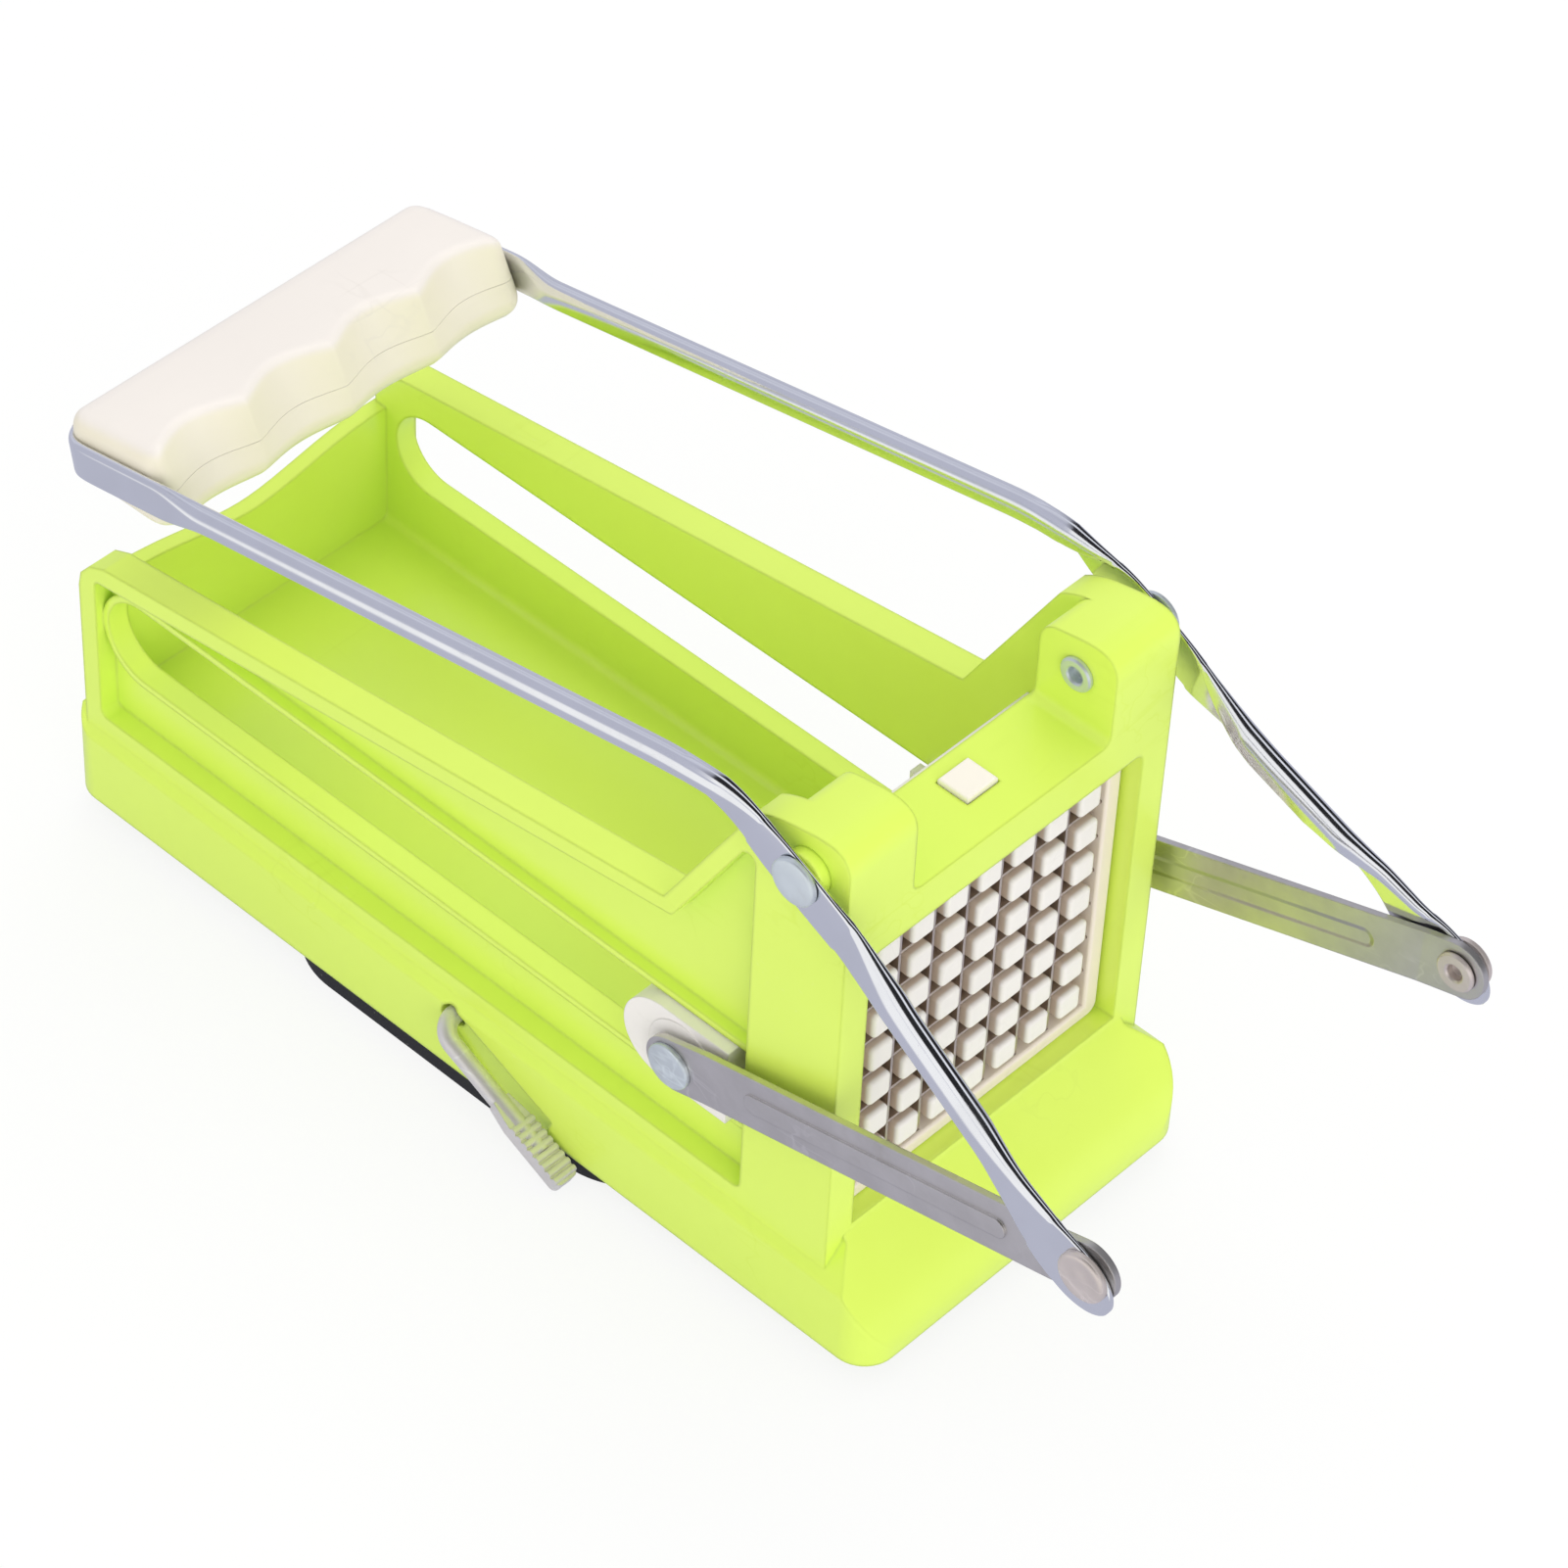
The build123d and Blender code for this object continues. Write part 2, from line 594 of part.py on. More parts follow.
with BuildPart() as front_arm:
    # Side outline of the far arm from the kink to its round end
    with BuildSketch(side_plane()):
        with BuildLine():
            Line(arm_point(4, half_strip), arm_point(1, half_strip))
            Spline(arm_point(1, half_strip), along_lever(-24, 0.9), along_lever(-15, 3.3), along_lever(-8, 4.4),
                   along_lever(0, 4.7), along_lever(14, 4.4), along_lever(25, 2.8), along_lever(35, 1.9),
                   along_lever(50, 1.8))
            Spline(along_lever(50, 1.8), along_lever(66, 1.8), along_lever(78, 2.4), along_lever(87, 4.2),
                   along_lever(94, 4.6), along_lever(99.6, 1.6), along_lever(100.8, -3.4), along_lever(97.6, -8.6),
                   along_lever(89, -10.6), along_lever(80, -9.9), along_lever(74, -7.6), along_lever(66, -4.9),
                   along_lever(50, -4.6))
            Spline(along_lever(50, -4.6), along_lever(35, -4.8), along_lever(24, -5.5), along_lever(14, -6.2),
                   along_lever(0, -6.5), along_lever(-14, -5.7), along_lever(-22, -5.0), arm_point(1, -half_strip))
            Line(arm_point(1, -half_strip), arm_point(4, -half_strip))
            Line(arm_point(4, -half_strip), arm_point(4, half_strip))
        make_face()
    extrude(amount=outward(1, 2 * skirt_out))
    # Seen from above, the arm splays outwards and is narrow at the two pivots
    with BuildSketch(level_plane()):
        with BuildLine():
            Polyline(
                (arm_point(6, 0)[0], arm_out),
                (arm_point(0, 0)[0], arm_out),
                (along_lever(-15, 0)[0], web_at_pivot),
                (along_lever(15, 0)[0], web_at_pivot),
                (along_lever(splay_end, 0)[0], web_at_link),
                (along_lever(110, 0)[0], web_at_link),
                (along_lever(110, 0)[0], web_at_link - strip_gauge),
                (along_lever(splay_end - 1.5, 0)[0], web_at_link - strip_gauge),
                (along_lever(splay_end - 11, 0)[0], web_at_link - strip_width - 1.1),
                (along_lever(25, 0)[0], web_at_pivot - strip_width + 0.9),
                (along_lever(15, 0)[0], web_at_pivot - strip_gauge),
                (along_lever(-15, 0)[0], web_at_pivot - strip_gauge),
                (arm_point(-3, 0)[0], arm_span / 2),
                (arm_point(6, 0)[0], arm_span / 2),
                close=True,
            )
        make_face()
    extrude(amount=2 * body_length, mode=Mode.INTERSECT)

# Hollow of the front arm, open underneath
splay = (web_at_link - web_at_pivot) / (along_lever(splay_end, 0)[0] - along_lever(15, 0)[0])
hollow_rear = along_lever(27, 0)[0]
hollow_front = along_lever(splay_end - 12, 0)[0]
hollow_out = web_at_pivot - strip_gauge + splay * (hollow_rear - along_lever(15, 0)[0])

with BuildPart() as arm_hollow:
    with BuildSketch(side_plane()):
        with BuildLine():
            Polyline(along_lever(24, 1.4), along_lever(36, 0.8), along_lever(70, 0.8), along_lever(70, -30),
                     along_lever(24, -30), close=True)
        make_face()
    extrude(amount=outward(1, 2 * skirt_out))
    with BuildSketch(level_plane()):
        with BuildLine():
            Polyline(
                (hollow_rear, hollow_out),
                (hollow_front, hollow_out + splay * (hollow_front - hollow_rear)),
                (hollow_front, hollow_out + splay * (hollow_front - hollow_rear) - strip_width + 2 * strip_gauge),
                (hollow_rear, hollow_out - strip_width + 2 * strip_gauge),
                close=True,
            )
        make_face()
    extrude(amount=2 * body_length, mode=Mode.INTERSECT)

with BuildPart() as lever_frame:
    with BuildSketch(grip_plane) as bow:
        with Locations(((run_length - belt_rear) / 2, 0)):
            Rectangle(run_length + belt_rear, 2 * arm_out)
        fillet(bow.vertices().group_by(Axis.X)[0], radius=8.0)
    extrude(amount=belt_height / 2, both=True)
    with BuildSketch(grip_plane) as inside:
        with BuildLine():
            Polyline(
                (belt_gauge - belt_rear, belt_gauge - arm_out),
                (belt_front, belt_gauge - arm_out),
                (taper_front, -arm_span / 2),
                (run_length + 1, -arm_span / 2),
                (run_length + 1, arm_span / 2),
                (taper_front, arm_span / 2),
                (belt_front, arm_out - belt_gauge),
                (belt_gauge - belt_rear, arm_out - belt_gauge),
                close=True,
            )
        make_face()
        fillet(inside.vertices().group_by(Axis.X)[0], radius=6.0)
    extrude(amount=belt_height, both=True, mode=Mode.SUBTRACT)
    with BuildSketch(grip_side):
        with BuildLine():
            Polyline(
                (-belt_rear - 1, -belt_height / 2),
                (belt_front, -belt_height / 2),
                (taper_front, -half_strip),
                (run_length + 1, -half_strip),
                (run_length + 1, half_strip),
                (taper_front, half_strip),
                (belt_front, belt_height / 2),
                (-belt_rear - 1, belt_height / 2),
                close=True,
            )
        make_face()
    extrude(amount=2 * skirt_out, both=True, mode=Mode.INTERSECT)
    # Hollow of the rear arms, open underneath
    with BuildSketch(grip_plane.offset(-belt_height)):
        for side in (-1, 1):
            with Locations(((run_length + taper_front - 6) / 2, side * (arm_out - strip_width / 2))):
                Rectangle(run_length - taper_front, strip_width - 2 * strip_gauge)
    extrude(amount=belt_height + half_strip - strip_gauge, mode=Mode.SUBTRACT)
    fillet(lever_frame.edges().filter_by(lambda e: abs(e.tangent_at(0.5).dot(grip_plane.x_dir)) > 0.999)
           .group_by(Axis.Y)[0], radius=0.8)
    add(front_arm.part)
    mirror(front_arm.part, about=Plane.XZ)
    add(arm_hollow.part, mode=Mode.SUBTRACT)
    mirror(arm_hollow.part, about=Plane.XZ, mode=Mode.SUBTRACT)
    with BuildSketch(side_plane()):
        with Locations((pivot_x, pivot_z)):
            Circle(rivet_shank / 2 + rivet_clearance)
        with Locations((tip_x, tip_z)):
            Circle(rivet_shank / 2)
    extrude(amount=2 * skirt_out, both=True, mode=Mode.SUBTRACT)

keep(lever_frame.part, "lever_frame")

# ---------------------------------------------------------------- grip
end_plane = arm_out - belt_gauge - seat_gap     # end faces of the grip
seam = face_gap / 2
scallop_radius = (finger_pitch**2 / 4 + finger_depth**2) / (2 * finger_depth)
ridge_top = (12.4, 8.2)                         # front edge of the grip's top, along and above
ridge_lean = Vector(ridge_top[0] - grip_front, 0, ridge_top[1]).normalized()
scallop_plane = Plane(
    origin=grip_plane.from_local_coords(Vector(ridge_top[0], 0, ridge_top[1])), x_dir=(0, 1, 0),
    z_dir=grip_plane.from_local_coords(ridge_lean) - grip_plane.from_local_coords(Vector(0, 0, 0)),
)
screw_places = [-32.0, 0.0, 32.0]
screw_shank = 1.6
screw_head = 3.2
screw_floor = -9.0         # underside of the screw heads below the seam
screw_top = 5.0


def grip_plan():
    """Outline of the grip seen along its thickness, with round rear corners."""
    with BuildSketch(Plane.XY) as plan:
        with Locations(((grip_front - grip_rear) / 2, 0)):
            Rectangle(grip_front + grip_rear, 2 * end_plane)
        fillet(plan.vertices().group_by(Axis.X)[0], radius=6.0)
        fillet(plan.vertices().group_by(Axis.X)[-1], radius=3.0)
    return plan.sketch


with BuildPart() as grip_upper:
    with BuildSketch(grip_side) as section:
        with BuildLine():
            Polyline((-grip_rear, seam), (-grip_rear, grip_above - 3.4), (-grip_rear + 4.9, grip_above - 0.3),
                     (8.0, grip_above), ridge_top, (grip_front, seam), close=True)
        make_face()
        fillet(section.vertices().filter_by(lambda v: v.Y > 2 * seam), radius=2.5)
    extrude(amount=2 * skirt_out, both=True)
    with BuildSketch(grip_plane):
        add(grip_plan())
    extrude(amount=grip_above + 1, mode=Mode.INTERSECT)
    with BuildSketch(grip_end_on) as end_on:
        with Locations((0, grip_above / 2)):
            Rectangle(2 * end_plane, grip_above)
        fillet(end_on.vertices().group_by(Axis.Y)[-1], radius=3.0)
    extrude(amount=2 * grip_front, both=True, mode=Mode.INTERSECT)
    with BuildSketch(scallop_plane):
        for i in range(finger_grips):
            with Locations(((i - (finger_grips - 1) / 2) * finger_pitch, finger_depth - scallop_radius)):
                Circle(scallop_radius)
    extrude(amount=2 * grip_above, both=True, mode=Mode.SUBTRACT)
    with BuildSketch(grip_plane):
        with Locations(*[(0, y) for y in screw_places]):
            Circle(screw_shank + rest_gap)
    extrude(amount=screw_top + face_gap, mode=Mode.SUBTRACT)

keep(grip_upper.part, "grip_upper")

with BuildPart() as grip_lower:
    with BuildSketch(grip_side) as section:
        with BuildLine():
            Polyline((-grip_rear, -seam), (-grip_rear, -4.4), (-12.0, -7.6), (8.5, -grip_below), (12.7, -8.2),
                     (16.4, -4.6), (grip_front, -seam), close=True)
        make_face()
        fillet(section.vertices().filter_by(lambda v: v.Y < -2 * seam), radius=1.5)
    extrude(amount=2 * skirt_out, both=True)
    with BuildSketch(grip_plane.offset(-grip_below - 1)):
        add(grip_plan())
    extrude(amount=grip_below + 1, mode=Mode.INTERSECT)
    with BuildSketch(grip_end_on) as end_on:
        with Locations((0, -grip_below / 2)):
            Rectangle(2 * end_plane, grip_below)
        fillet(end_on.vertices().group_by(Axis.Y)[0], radius=4.0)
    extrude(amount=2 * grip_front, both=True, mode=Mode.INTERSECT)
    with BuildSketch(grip_plane):
        with Locations(*[(0, y) for y in screw_places]):
            Circle(screw_shank + rest_gap)
    extrude(amount=-2 * grip_below, mode=Mode.SUBTRACT)
    with BuildSketch(grip_plane.offset(screw_floor + 2.0)):
        with Locations(*[(0, y) for y in screw_places]):
            Circle(screw_head + face_gap)
    extrude(amount=-2 * grip_below, mode=Mode.SUBTRACT)

keep(grip_lower.part, "grip_lower")

with BuildPart() as grip_screws:
    with BuildSketch(grip_plane.offset(screw_floor)):
        with Locations(*[(0, y) for y in screw_places]):
            Circle(screw_shank)
    extrude(amount=screw_top - screw_floor)
    with BuildSketch(grip_plane.offset(screw_floor)):
        with Locations(*[(0, y) for y in screw_places]):
            Circle(screw_head)
    extrude(amount=2.0 - rest_gap)
    with BuildSketch(grip_plane.offset(screw_floor)):
        for y in screw_places:
            with Locations((0, y)):
                Rectangle(4.0, 0.9)
                Rectangle(0.9, 4.0)
    extrude(amount=1.1, mode=Mode.SUBTRACT)

keep(grip_screws.part, "grip_screws")

# ---------------------------------------------------------------- links
link_straight = 9.0        # flat ends of the link, measured from its pivots
rib_height = 0.45
rib_short = 44.0           # rib shorter than the link, both ends together


def link_band(inner, outer):
    """Plan of a link or its rib between two distances inwards from the link's outer face."""
    with BuildSketch(level_plane()) as band:
        with BuildLine():
            Polyline(
                (slide_x - link_width, link_at_slide - outer),
                (slide_x + link_straight, link_at_slide - outer),
                (tip_x - link_straight, link_at_tip - outer),
                (tip_x + link_width, link_at_tip - outer),
                (tip_x + link_width, link_at_tip - inner),
                (tip_x - link_straight, link_at_tip - inner),
                (slide_x + link_straight, link_at_slide - inner),
                (slide_x - link_width, link_at_slide - inner),
                close=True,
            )
        make_face()
    return band.sketch


link_centre = ((slide_x + tip_x) / 2, (slot_middle + tip_z) / 2)

with BuildPart() as link_rib_body:
    with BuildSketch(side_plane()):
        with Locations(Location(link_centre, link_angle)):
            SlotOverall(link_length - rib_short, link_rib)
    extrude(amount=outward(1, 2 * skirt_out))
    add(extrude(link_band(0.4, -rib_height), amount=body_length, mode=Mode.PRIVATE), mode=Mode.INTERSECT)

with BuildPart() as far_link:
    with BuildSketch(side_plane()):
        with Locations(Location(link_centre, link_angle)):
            SlotCenterToCenter(link_length, link_width)
    extrude(amount=outward(1, 2 * skirt_out))
    add(extrude(link_band(link_gauge, 0), amount=body_length, mode=Mode.PRIVATE), mode=Mode.INTERSECT)
    add(link_rib_body.part)
    with BuildSketch(side_plane()):
        with Locations((slide_x, slot_middle)):
            Circle(rivet_shank / 2)
        with Locations((tip_x, tip_z)):
            Circle(rivet_shank / 2 + rivet_clearance)
    extrude(amount=outward(1, 2 * skirt_out), mode=Mode.SUBTRACT)

keep(far_link.part, "far_link")

with BuildPart() as near_link:
    mirror(far_link.part, about=Plane.XZ)

keep(near_link.part, "near_link")

# ---------------------------------------------------------------- rivets and washers
washer_radius = 5.2
flare = 4.0
eyelet_radius = 1.9        # hollow in a rivet's inner end
eyelet_depth = 2.0
eyelet_lip = 0.4           # chamfer round that end


def rivet_profile(inner, shank_radius, inner_radius, inner_end, head_from, head_radius, head_height, crown):
    """Half section of a rivet: a flared inner end, a shank and a crowned head, distances from y = 0."""
    with BuildSketch(Plane.XY) as section:
        with BuildLine():
            Polyline((0, inner + eyelet_depth), (eyelet_radius, inner + eyelet_depth),
                     (eyelet_radius, inner + eyelet_lip), (eyelet_radius + eyelet_lip, inner),
                     (inner_radius - eyelet_lip, inner), (inner_radius, inner + eyelet_lip),
                     (inner_radius, inner_end), (shank_radius, inner_end),
                     (shank_radius, head_from), (head_radius, head_from),
                     (head_radius, head_from + head_height * 0.5))
            Spline(
                (head_radius, head_from + head_height * 0.5),
                (head_radius - crown, head_from + head_height * 0.93),
                (0, head_from + head_height),
                tangents=((-0.1, 1), (-1, 0)),
            )
            Line((0, head_from + head_height), (0, inner + eyelet_depth))
        make_face()
    return section.sketch


def spun(section, x, z):
    """Turn a half section about a pivot of the far side."""
    turned = revolve(section, axis=Axis.Y, mode=Mode.PRIVATE)
    return turned.moved(Location((x - pad_centre, 0, z + pad_thickness)))


post_section = rivet_profile(boss_reach - 1.2, rivet_shank / 2 - rivet_clearance, flare, boss_reach - rest_gap,
                             web_at_pivot + face_gap, rivet_head / 2, rivet_head_height, 1.0)
link_section = rivet_profile(link_at_tip - link_gauge - face_gap - 0.9, rivet_shank / 2, flare + 0.6,
                             link_at_tip - link_gauge - face_gap, web_at_link + rest_gap, rivet_head / 2 + 0.25,
                             rivet_head_height + 0.2, 2.4)
slide_section = rivet_profile(boss_face + face_gap, rivet_shank / 2, flare + 1.0,
                              link_at_slide - link_gauge - rest_gap, link_at_slide + rest_gap, rivet_head / 2,
                              rivet_head_height - 0.2, 1.0)

with BuildPart() as far_post_rivet:
    add(spun(post_section, pivot_x, pivot_z))
keep(far_post_rivet.part, "far_post_rivet")

with BuildPart() as near_post_rivet:
    mirror(far_post_rivet.part, about=Plane.XZ)
keep(near_post_rivet.part, "near_post_rivet")

with BuildPart() as far_link_rivet:
    add(spun(link_section, tip_x, tip_z))
keep(far_link_rivet.part, "far_link_rivet")

with BuildPart() as near_link_rivet:
    mirror(far_link_rivet.part, about=Plane.XZ)
keep(near_link_rivet.part, "near_link_rivet")

with BuildPart() as far_pusher_rivet:
    add(spun(slide_section, slide_x, slot_middle))
keep(far_pusher_rivet.part, "far_pusher_rivet")

with BuildPart() as near_pusher_rivet:
    mirror(far_pusher_rivet.part, about=Plane.XZ)
keep(near_pusher_rivet.part, "near_pusher_rivet")

with BuildPart() as far_post_washer:
    with BuildSketch(side_plane(border_out + rest_gap)):
        with Locations((pivot_x, pivot_z)):
            Circle(washer_radius)
            Circle(rivet_shank / 2, mode=Mode.SUBTRACT)
    extrude(amount=outward(1, web_at_pivot - strip_gauge - face_gap - border_out - rest_gap))
keep(far_post_washer.part, "far_post_washer")

with BuildPart() as near_post_washer:
    mirror(far_post_washer.part, about=Plane.XZ)
keep(near_post_washer.part, "near_post_washer")

# ---------------------------------------------------------------- suction base
stem_well = 15.0
foot_radius = 12.0
stem_half = 5.0            # half the stem's width across the body
cam_x = rod_x + cam_offset * cos(radians(thumb_swing / 2))
cam_z = rod_height - cam_offset * sin(radians(thumb_swing / 2))
window_rear = rod_x - rod_diameter / 2 - face_gap - 0.3
window_front = cam_x + cam_radius + 0.8
window_tall = cam_radius + rivet_clearance
stem_wall = 1.5

with BuildPart() as suction_pad:
    with BuildSketch(level_plane(-pad_thickness)):
        with Locations((pad_centre, 0)):
            RectangleRounded(pad_length, pad_width, pad_corner)
    extrude(amount=pad_thickness - rest_gap)
    chamfer(suction_pad.edges().group_by(Axis.Z)[-1], length=pad_rim)
    with BuildSketch(level_plane(-rest_gap)):
        with Locations((rod_x, 0)):
            Circle(stem_well)
    extrude(amount=rest_gap - 4.0, mode=Mode.SUBTRACT)
keep(suction_pad.part, "suction_pad")

with BuildPart() as suction_stem:
    with BuildSketch(side_plane()):
        with BuildLine():
            Polyline((window_rear - stem_wall, cam_z - window_tall - stem_wall),
                     (window_rear - stem_wall, cam_z + window_tall + stem_wall),
                     (window_front + stem_wall, cam_z + window_tall + stem_wall),
                     (window_front + stem_wall, cam_z - window_tall - stem_wall), close=True)
        make_face()
        with Locations(((window_rear + window_front) / 2, cam_z)):
            Rectangle(window_front - window_rear, 2 * window_tall, mode=Mode.SUBTRACT)
    extrude(amount=stem_half, both=True)
    with BuildSketch(level_plane(-2.2)):
        with Locations((rod_x, 0)):
            Circle(4.5)
    extrude(amount=cam_z - window_tall - stem_wall + 2.7)
    with BuildSketch(level_plane(-3.7)):
        with Locations((rod_x, 0)):
            Circle(foot_radius)
    extrude(amount=1.8)
keep(suction_stem.part, "suction_stem")

thumb_axis = skirt_out + rod_out
rod_end = 24.0
droop_x = cos(radians(thumb_droop))
droop_z = sin(radians(thumb_droop))
bend = (rod_x - pad_centre, -thumb_axis, rod_height + pad_thickness)
thumb_plane = Plane(origin=bend, x_dir=(droop_x, 0, -droop_z), z_dir=(droop_z, 0, droop_x))
thumb_side = Plane(origin=bend, x_dir=(droop_x, 0, -droop_z), z_dir=(0, -1, 0))
rod_start = (bend[0], rod_end, bend[2])
rod_tip = tuple(thumb_side.from_local_coords(Vector(thumb_reach - thumb_length / 2, 0, 0)))
rod_bend = 5.0             # radius of the rod's bend
ribs = 8
rib_pitch = 1.95
rib_radius = 0.75

with BuildPart() as suction_lever:
    with BuildLine() as rod_line:
        FilletPolyline(rod_start, bend, rod_tip, radius=rod_bend)
    with BuildSketch(Plane(origin=rod_start, z_dir=(0, -1, 0))):
        Circle(rod_diameter / 2)
    sweep(path=rod_line.line)
    with BuildSketch(side_plane(stem_half - 1.0)):
        with Locations((cam_x, cam_z)):
            Circle(cam_radius)
    extrude(amount=2 * stem_half - 2.0)
    # Thumb pad: flattened end of the rod with a ribbed top
    with BuildSketch(thumb_plane.offset(-1.5)) as thumb:
        with BuildLine():
            Polyline(
                (thumb_reach - thumb_length - 6.0, -rod_diameter / 2),
                (thumb_reach - thumb_length, -thumb_width / 2),
                (thumb_reach, -thumb_width / 2),
                (thumb_reach, thumb_width / 2),
                (thumb_reach - thumb_length, thumb_width / 2),
                (thumb_reach - thumb_length - 6.0, rod_diameter / 2),
                close=True,
            )
        make_face()
        fillet(thumb.vertices().group_by(Axis.X)[-1], radius=1.5)
    extrude(amount=3.0)
    with BuildSketch(thumb_side):
        with Locations(*[(thumb_reach - rib_pitch * (i + 0.8), 1.5) for i in range(ribs)]):
            Circle(rib_radius)
    extrude(amount=thumb_width / 2, both=True)
keep(suction_lever.part, "suction_lever")

with BuildPart() as suction_clip:
    with BuildSketch(side_plane(rod_end - 1.4)):
        with Locations((rod_x, rod_height)):
            Circle(4.2)
            Circle(rod_diameter / 2 + rest_gap, mode=Mode.SUBTRACT)
    extrude(amount=1.2)
keep(suction_clip.part, "suction_clip")

print(all_nodes)
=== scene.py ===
"""Looks of a french fry cutter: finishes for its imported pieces, a smooth lever, grip and stage."""

import json

import bpy
import numpy as np
from mathutils import Euler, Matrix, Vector


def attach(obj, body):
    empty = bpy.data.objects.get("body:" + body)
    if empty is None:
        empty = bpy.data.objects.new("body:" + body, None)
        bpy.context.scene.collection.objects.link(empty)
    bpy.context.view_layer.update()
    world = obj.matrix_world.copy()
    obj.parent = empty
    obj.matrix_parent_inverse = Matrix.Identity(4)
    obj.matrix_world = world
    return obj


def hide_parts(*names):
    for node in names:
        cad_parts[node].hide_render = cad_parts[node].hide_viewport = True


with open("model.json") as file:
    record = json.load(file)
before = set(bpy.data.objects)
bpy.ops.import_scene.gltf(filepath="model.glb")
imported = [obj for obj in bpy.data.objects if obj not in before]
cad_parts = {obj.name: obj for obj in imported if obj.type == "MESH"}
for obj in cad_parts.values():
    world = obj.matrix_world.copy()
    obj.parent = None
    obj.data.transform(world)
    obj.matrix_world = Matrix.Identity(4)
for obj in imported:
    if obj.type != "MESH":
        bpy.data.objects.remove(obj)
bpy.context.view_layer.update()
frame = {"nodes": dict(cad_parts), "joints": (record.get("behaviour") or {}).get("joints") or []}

bl_info = {
    "name": "French Fry Cutter",
    "version": (1, 0, 0),
    "blender": (4, 5, 0),
    "location": "View3D > Sidebar > Fry Cutter",
    "description": "Dresses the packed fry cutter with its finishes, lever strip, grip and stage",
    "category": "Object",
}

MM = 0.001
JOINTS = {joint["name"]: joint for joint in frame["joints"]}

# Pivots in millimetres. The links' pivot on the pusher has no joint, so its x and z stand here.
LEVER_PIVOT = np.array(JOINTS["lever_hinge"]["pos_m"]) / MM
LINK_PIVOT = np.array(JOINTS["link_hinge"]["pos_m"]) / MM
PUSHER_PIVOT = np.array([68.349, 58.8])

# Origin of the sloping plane that holds the rear arms and the parting of the grip, in millimetres
GRIP_X, GRIP_Z = LEVER_PIVOT[0] - 193.3, LEVER_PIVOT[2] - 22.35

# Rear half of the lever strip, in millimetres: the arms' outer face, the back of the belt behind
# the grip, the round between them, and the arms' front end along the slope
ARM_OUT, BELT_REAR, CORNER_RADIUS, ARM_END = 53.4, -18.4, 8.0, 162.0
# Half widths of bead and belt, and how far the strip reaches above and below its path there
BEAD_HALF_WIDTH, BELT_HALF_WIDTH = 2.1, 1.0
BEAD_REACH, BELT_REACH = 3.05, 4.5

# Front half of the strip, by the distance along the line of pivots, in millimetres
FRONT_START, FRONT_CLOSING, FRONT_END = -27.0, 90.0, 100.9
FRONT_EDGES = (  # distance, edge above, edge below
    (-27, -0.3, -6.2), (-23, 1.3, -5.3), (-15, 3.3, -5.6), (-8, 4.4, -6.2), (0, 4.7, -6.5),
    (14, 4.5, -6.2), (25, 3.2, -5.4), (35, 2.4, -5.1), (50, 2.3, -5.0), (64, 2.3, -5.1),
    (72, 2.5, -6.8), (79, 2.9, -9.4), (86, 4.2, -10.5), (93, 4.7, -10.2), (100.9, 4.7, -10.0))
FRONT_FACE = (  # distance, outer face's y
    (-27, 53.4), (-17, 52.1), (15, 52.1), (30, 54.2), (70, 57.5), (101, 57.5))
FRONT_HALF_WIDTH = (  # distance, half width
    (-27, 2.1), (-23, 2.0), (-15, 1.1), (-9, 0.6), (10, 0.6), (16, 1.0),
    (29, 2.4), (58, 2.4), (68, 1.6), (79, 1.15), (84, 0.6), (101, 0.6))
FRONT_FLANGE = (  # distance, share of the inner flange
    (-27, 1), (-24, 1), (-15, 0), (14, 0), (34, 0.8), (50, 0.8), (68, 0), (101, 0))

# Sections of the grip's halves in the sloping plane, (along, above) in millimetres
GRIP_TOP = (
    (-16.3, 0.05), (-16.3, 6.6), (-15.4, 8.4), (-13.6, 9.6), (-11.0, 10.0), (-4.0, 10.2),
    (10.2, 10.2), (11.9, 9.8), (12.8, 8.6), (15.0, 0.05))
GRIP_UNDER = (
    (-16.3, -0.05), (-16.3, -4.2), (-15.0, -6.4), (-12.0, -7.6), (6.8, -10.9), (9.5, -10.9),
    (13.4, -9.0), (15.6, -7.0), (16.2, -5.0), (15.0, -0.05))
GRIP_HALF_LENGTH, GRIP_ROUND, GRIP_FINGERS = 51.3, 4.4, 4

EVEN_GRAIN = (1.0, 1.0, 1.0)
WHITE = (1.0, 1.0, 1.0)

# What mirrors see
MIRROR_GREY = (0.53, 0.54, 0.64)
MIRROR_STRIPE = (0.80, 0.82, 0.90)
MIRROR_PALE = (0.82, 0.84, 0.90)
MIRROR_BLACK = (0.015, 0.015, 0.018)


# ------------------------------------------------------------------ shader expressions


class Wire:
    """A socket whose arithmetic adds Math nodes to its material."""

    def __init__(self, paint, socket):
        self.paint, self.socket = paint, socket

    def math(self, operation, *others):
        sockets = dict(enumerate((self, *others)))
        return self.paint.add("ShaderNodeMath", {"operation": operation}, sockets)

    def __add__(self, other):
        return self.math("ADD", other)

    def __sub__(self, other):
        return self.math("SUBTRACT", other)

    def __mul__(self, other):
        return self.math("MULTIPLY", other)

    def __pow__(self, other):
        return self.math("POWER", other)

    def __abs__(self):
        return self.math("ABSOLUTE")

    __radd__ = __add__

    def band(self, low, high):
        """0 below low, 1 above high, a smooth rise between; reversed when high is under low."""
        start, end = (1.0, 0.0) if high < low else (0.0, 1.0)
        sockets = {0: self, 1: min(low, high), 2: max(low, high), 3: start, 4: end}
        return self.paint.add(
            "ShaderNodeMapRange", {"interpolation_type": "SMOOTHSTEP"}, sockets
        )


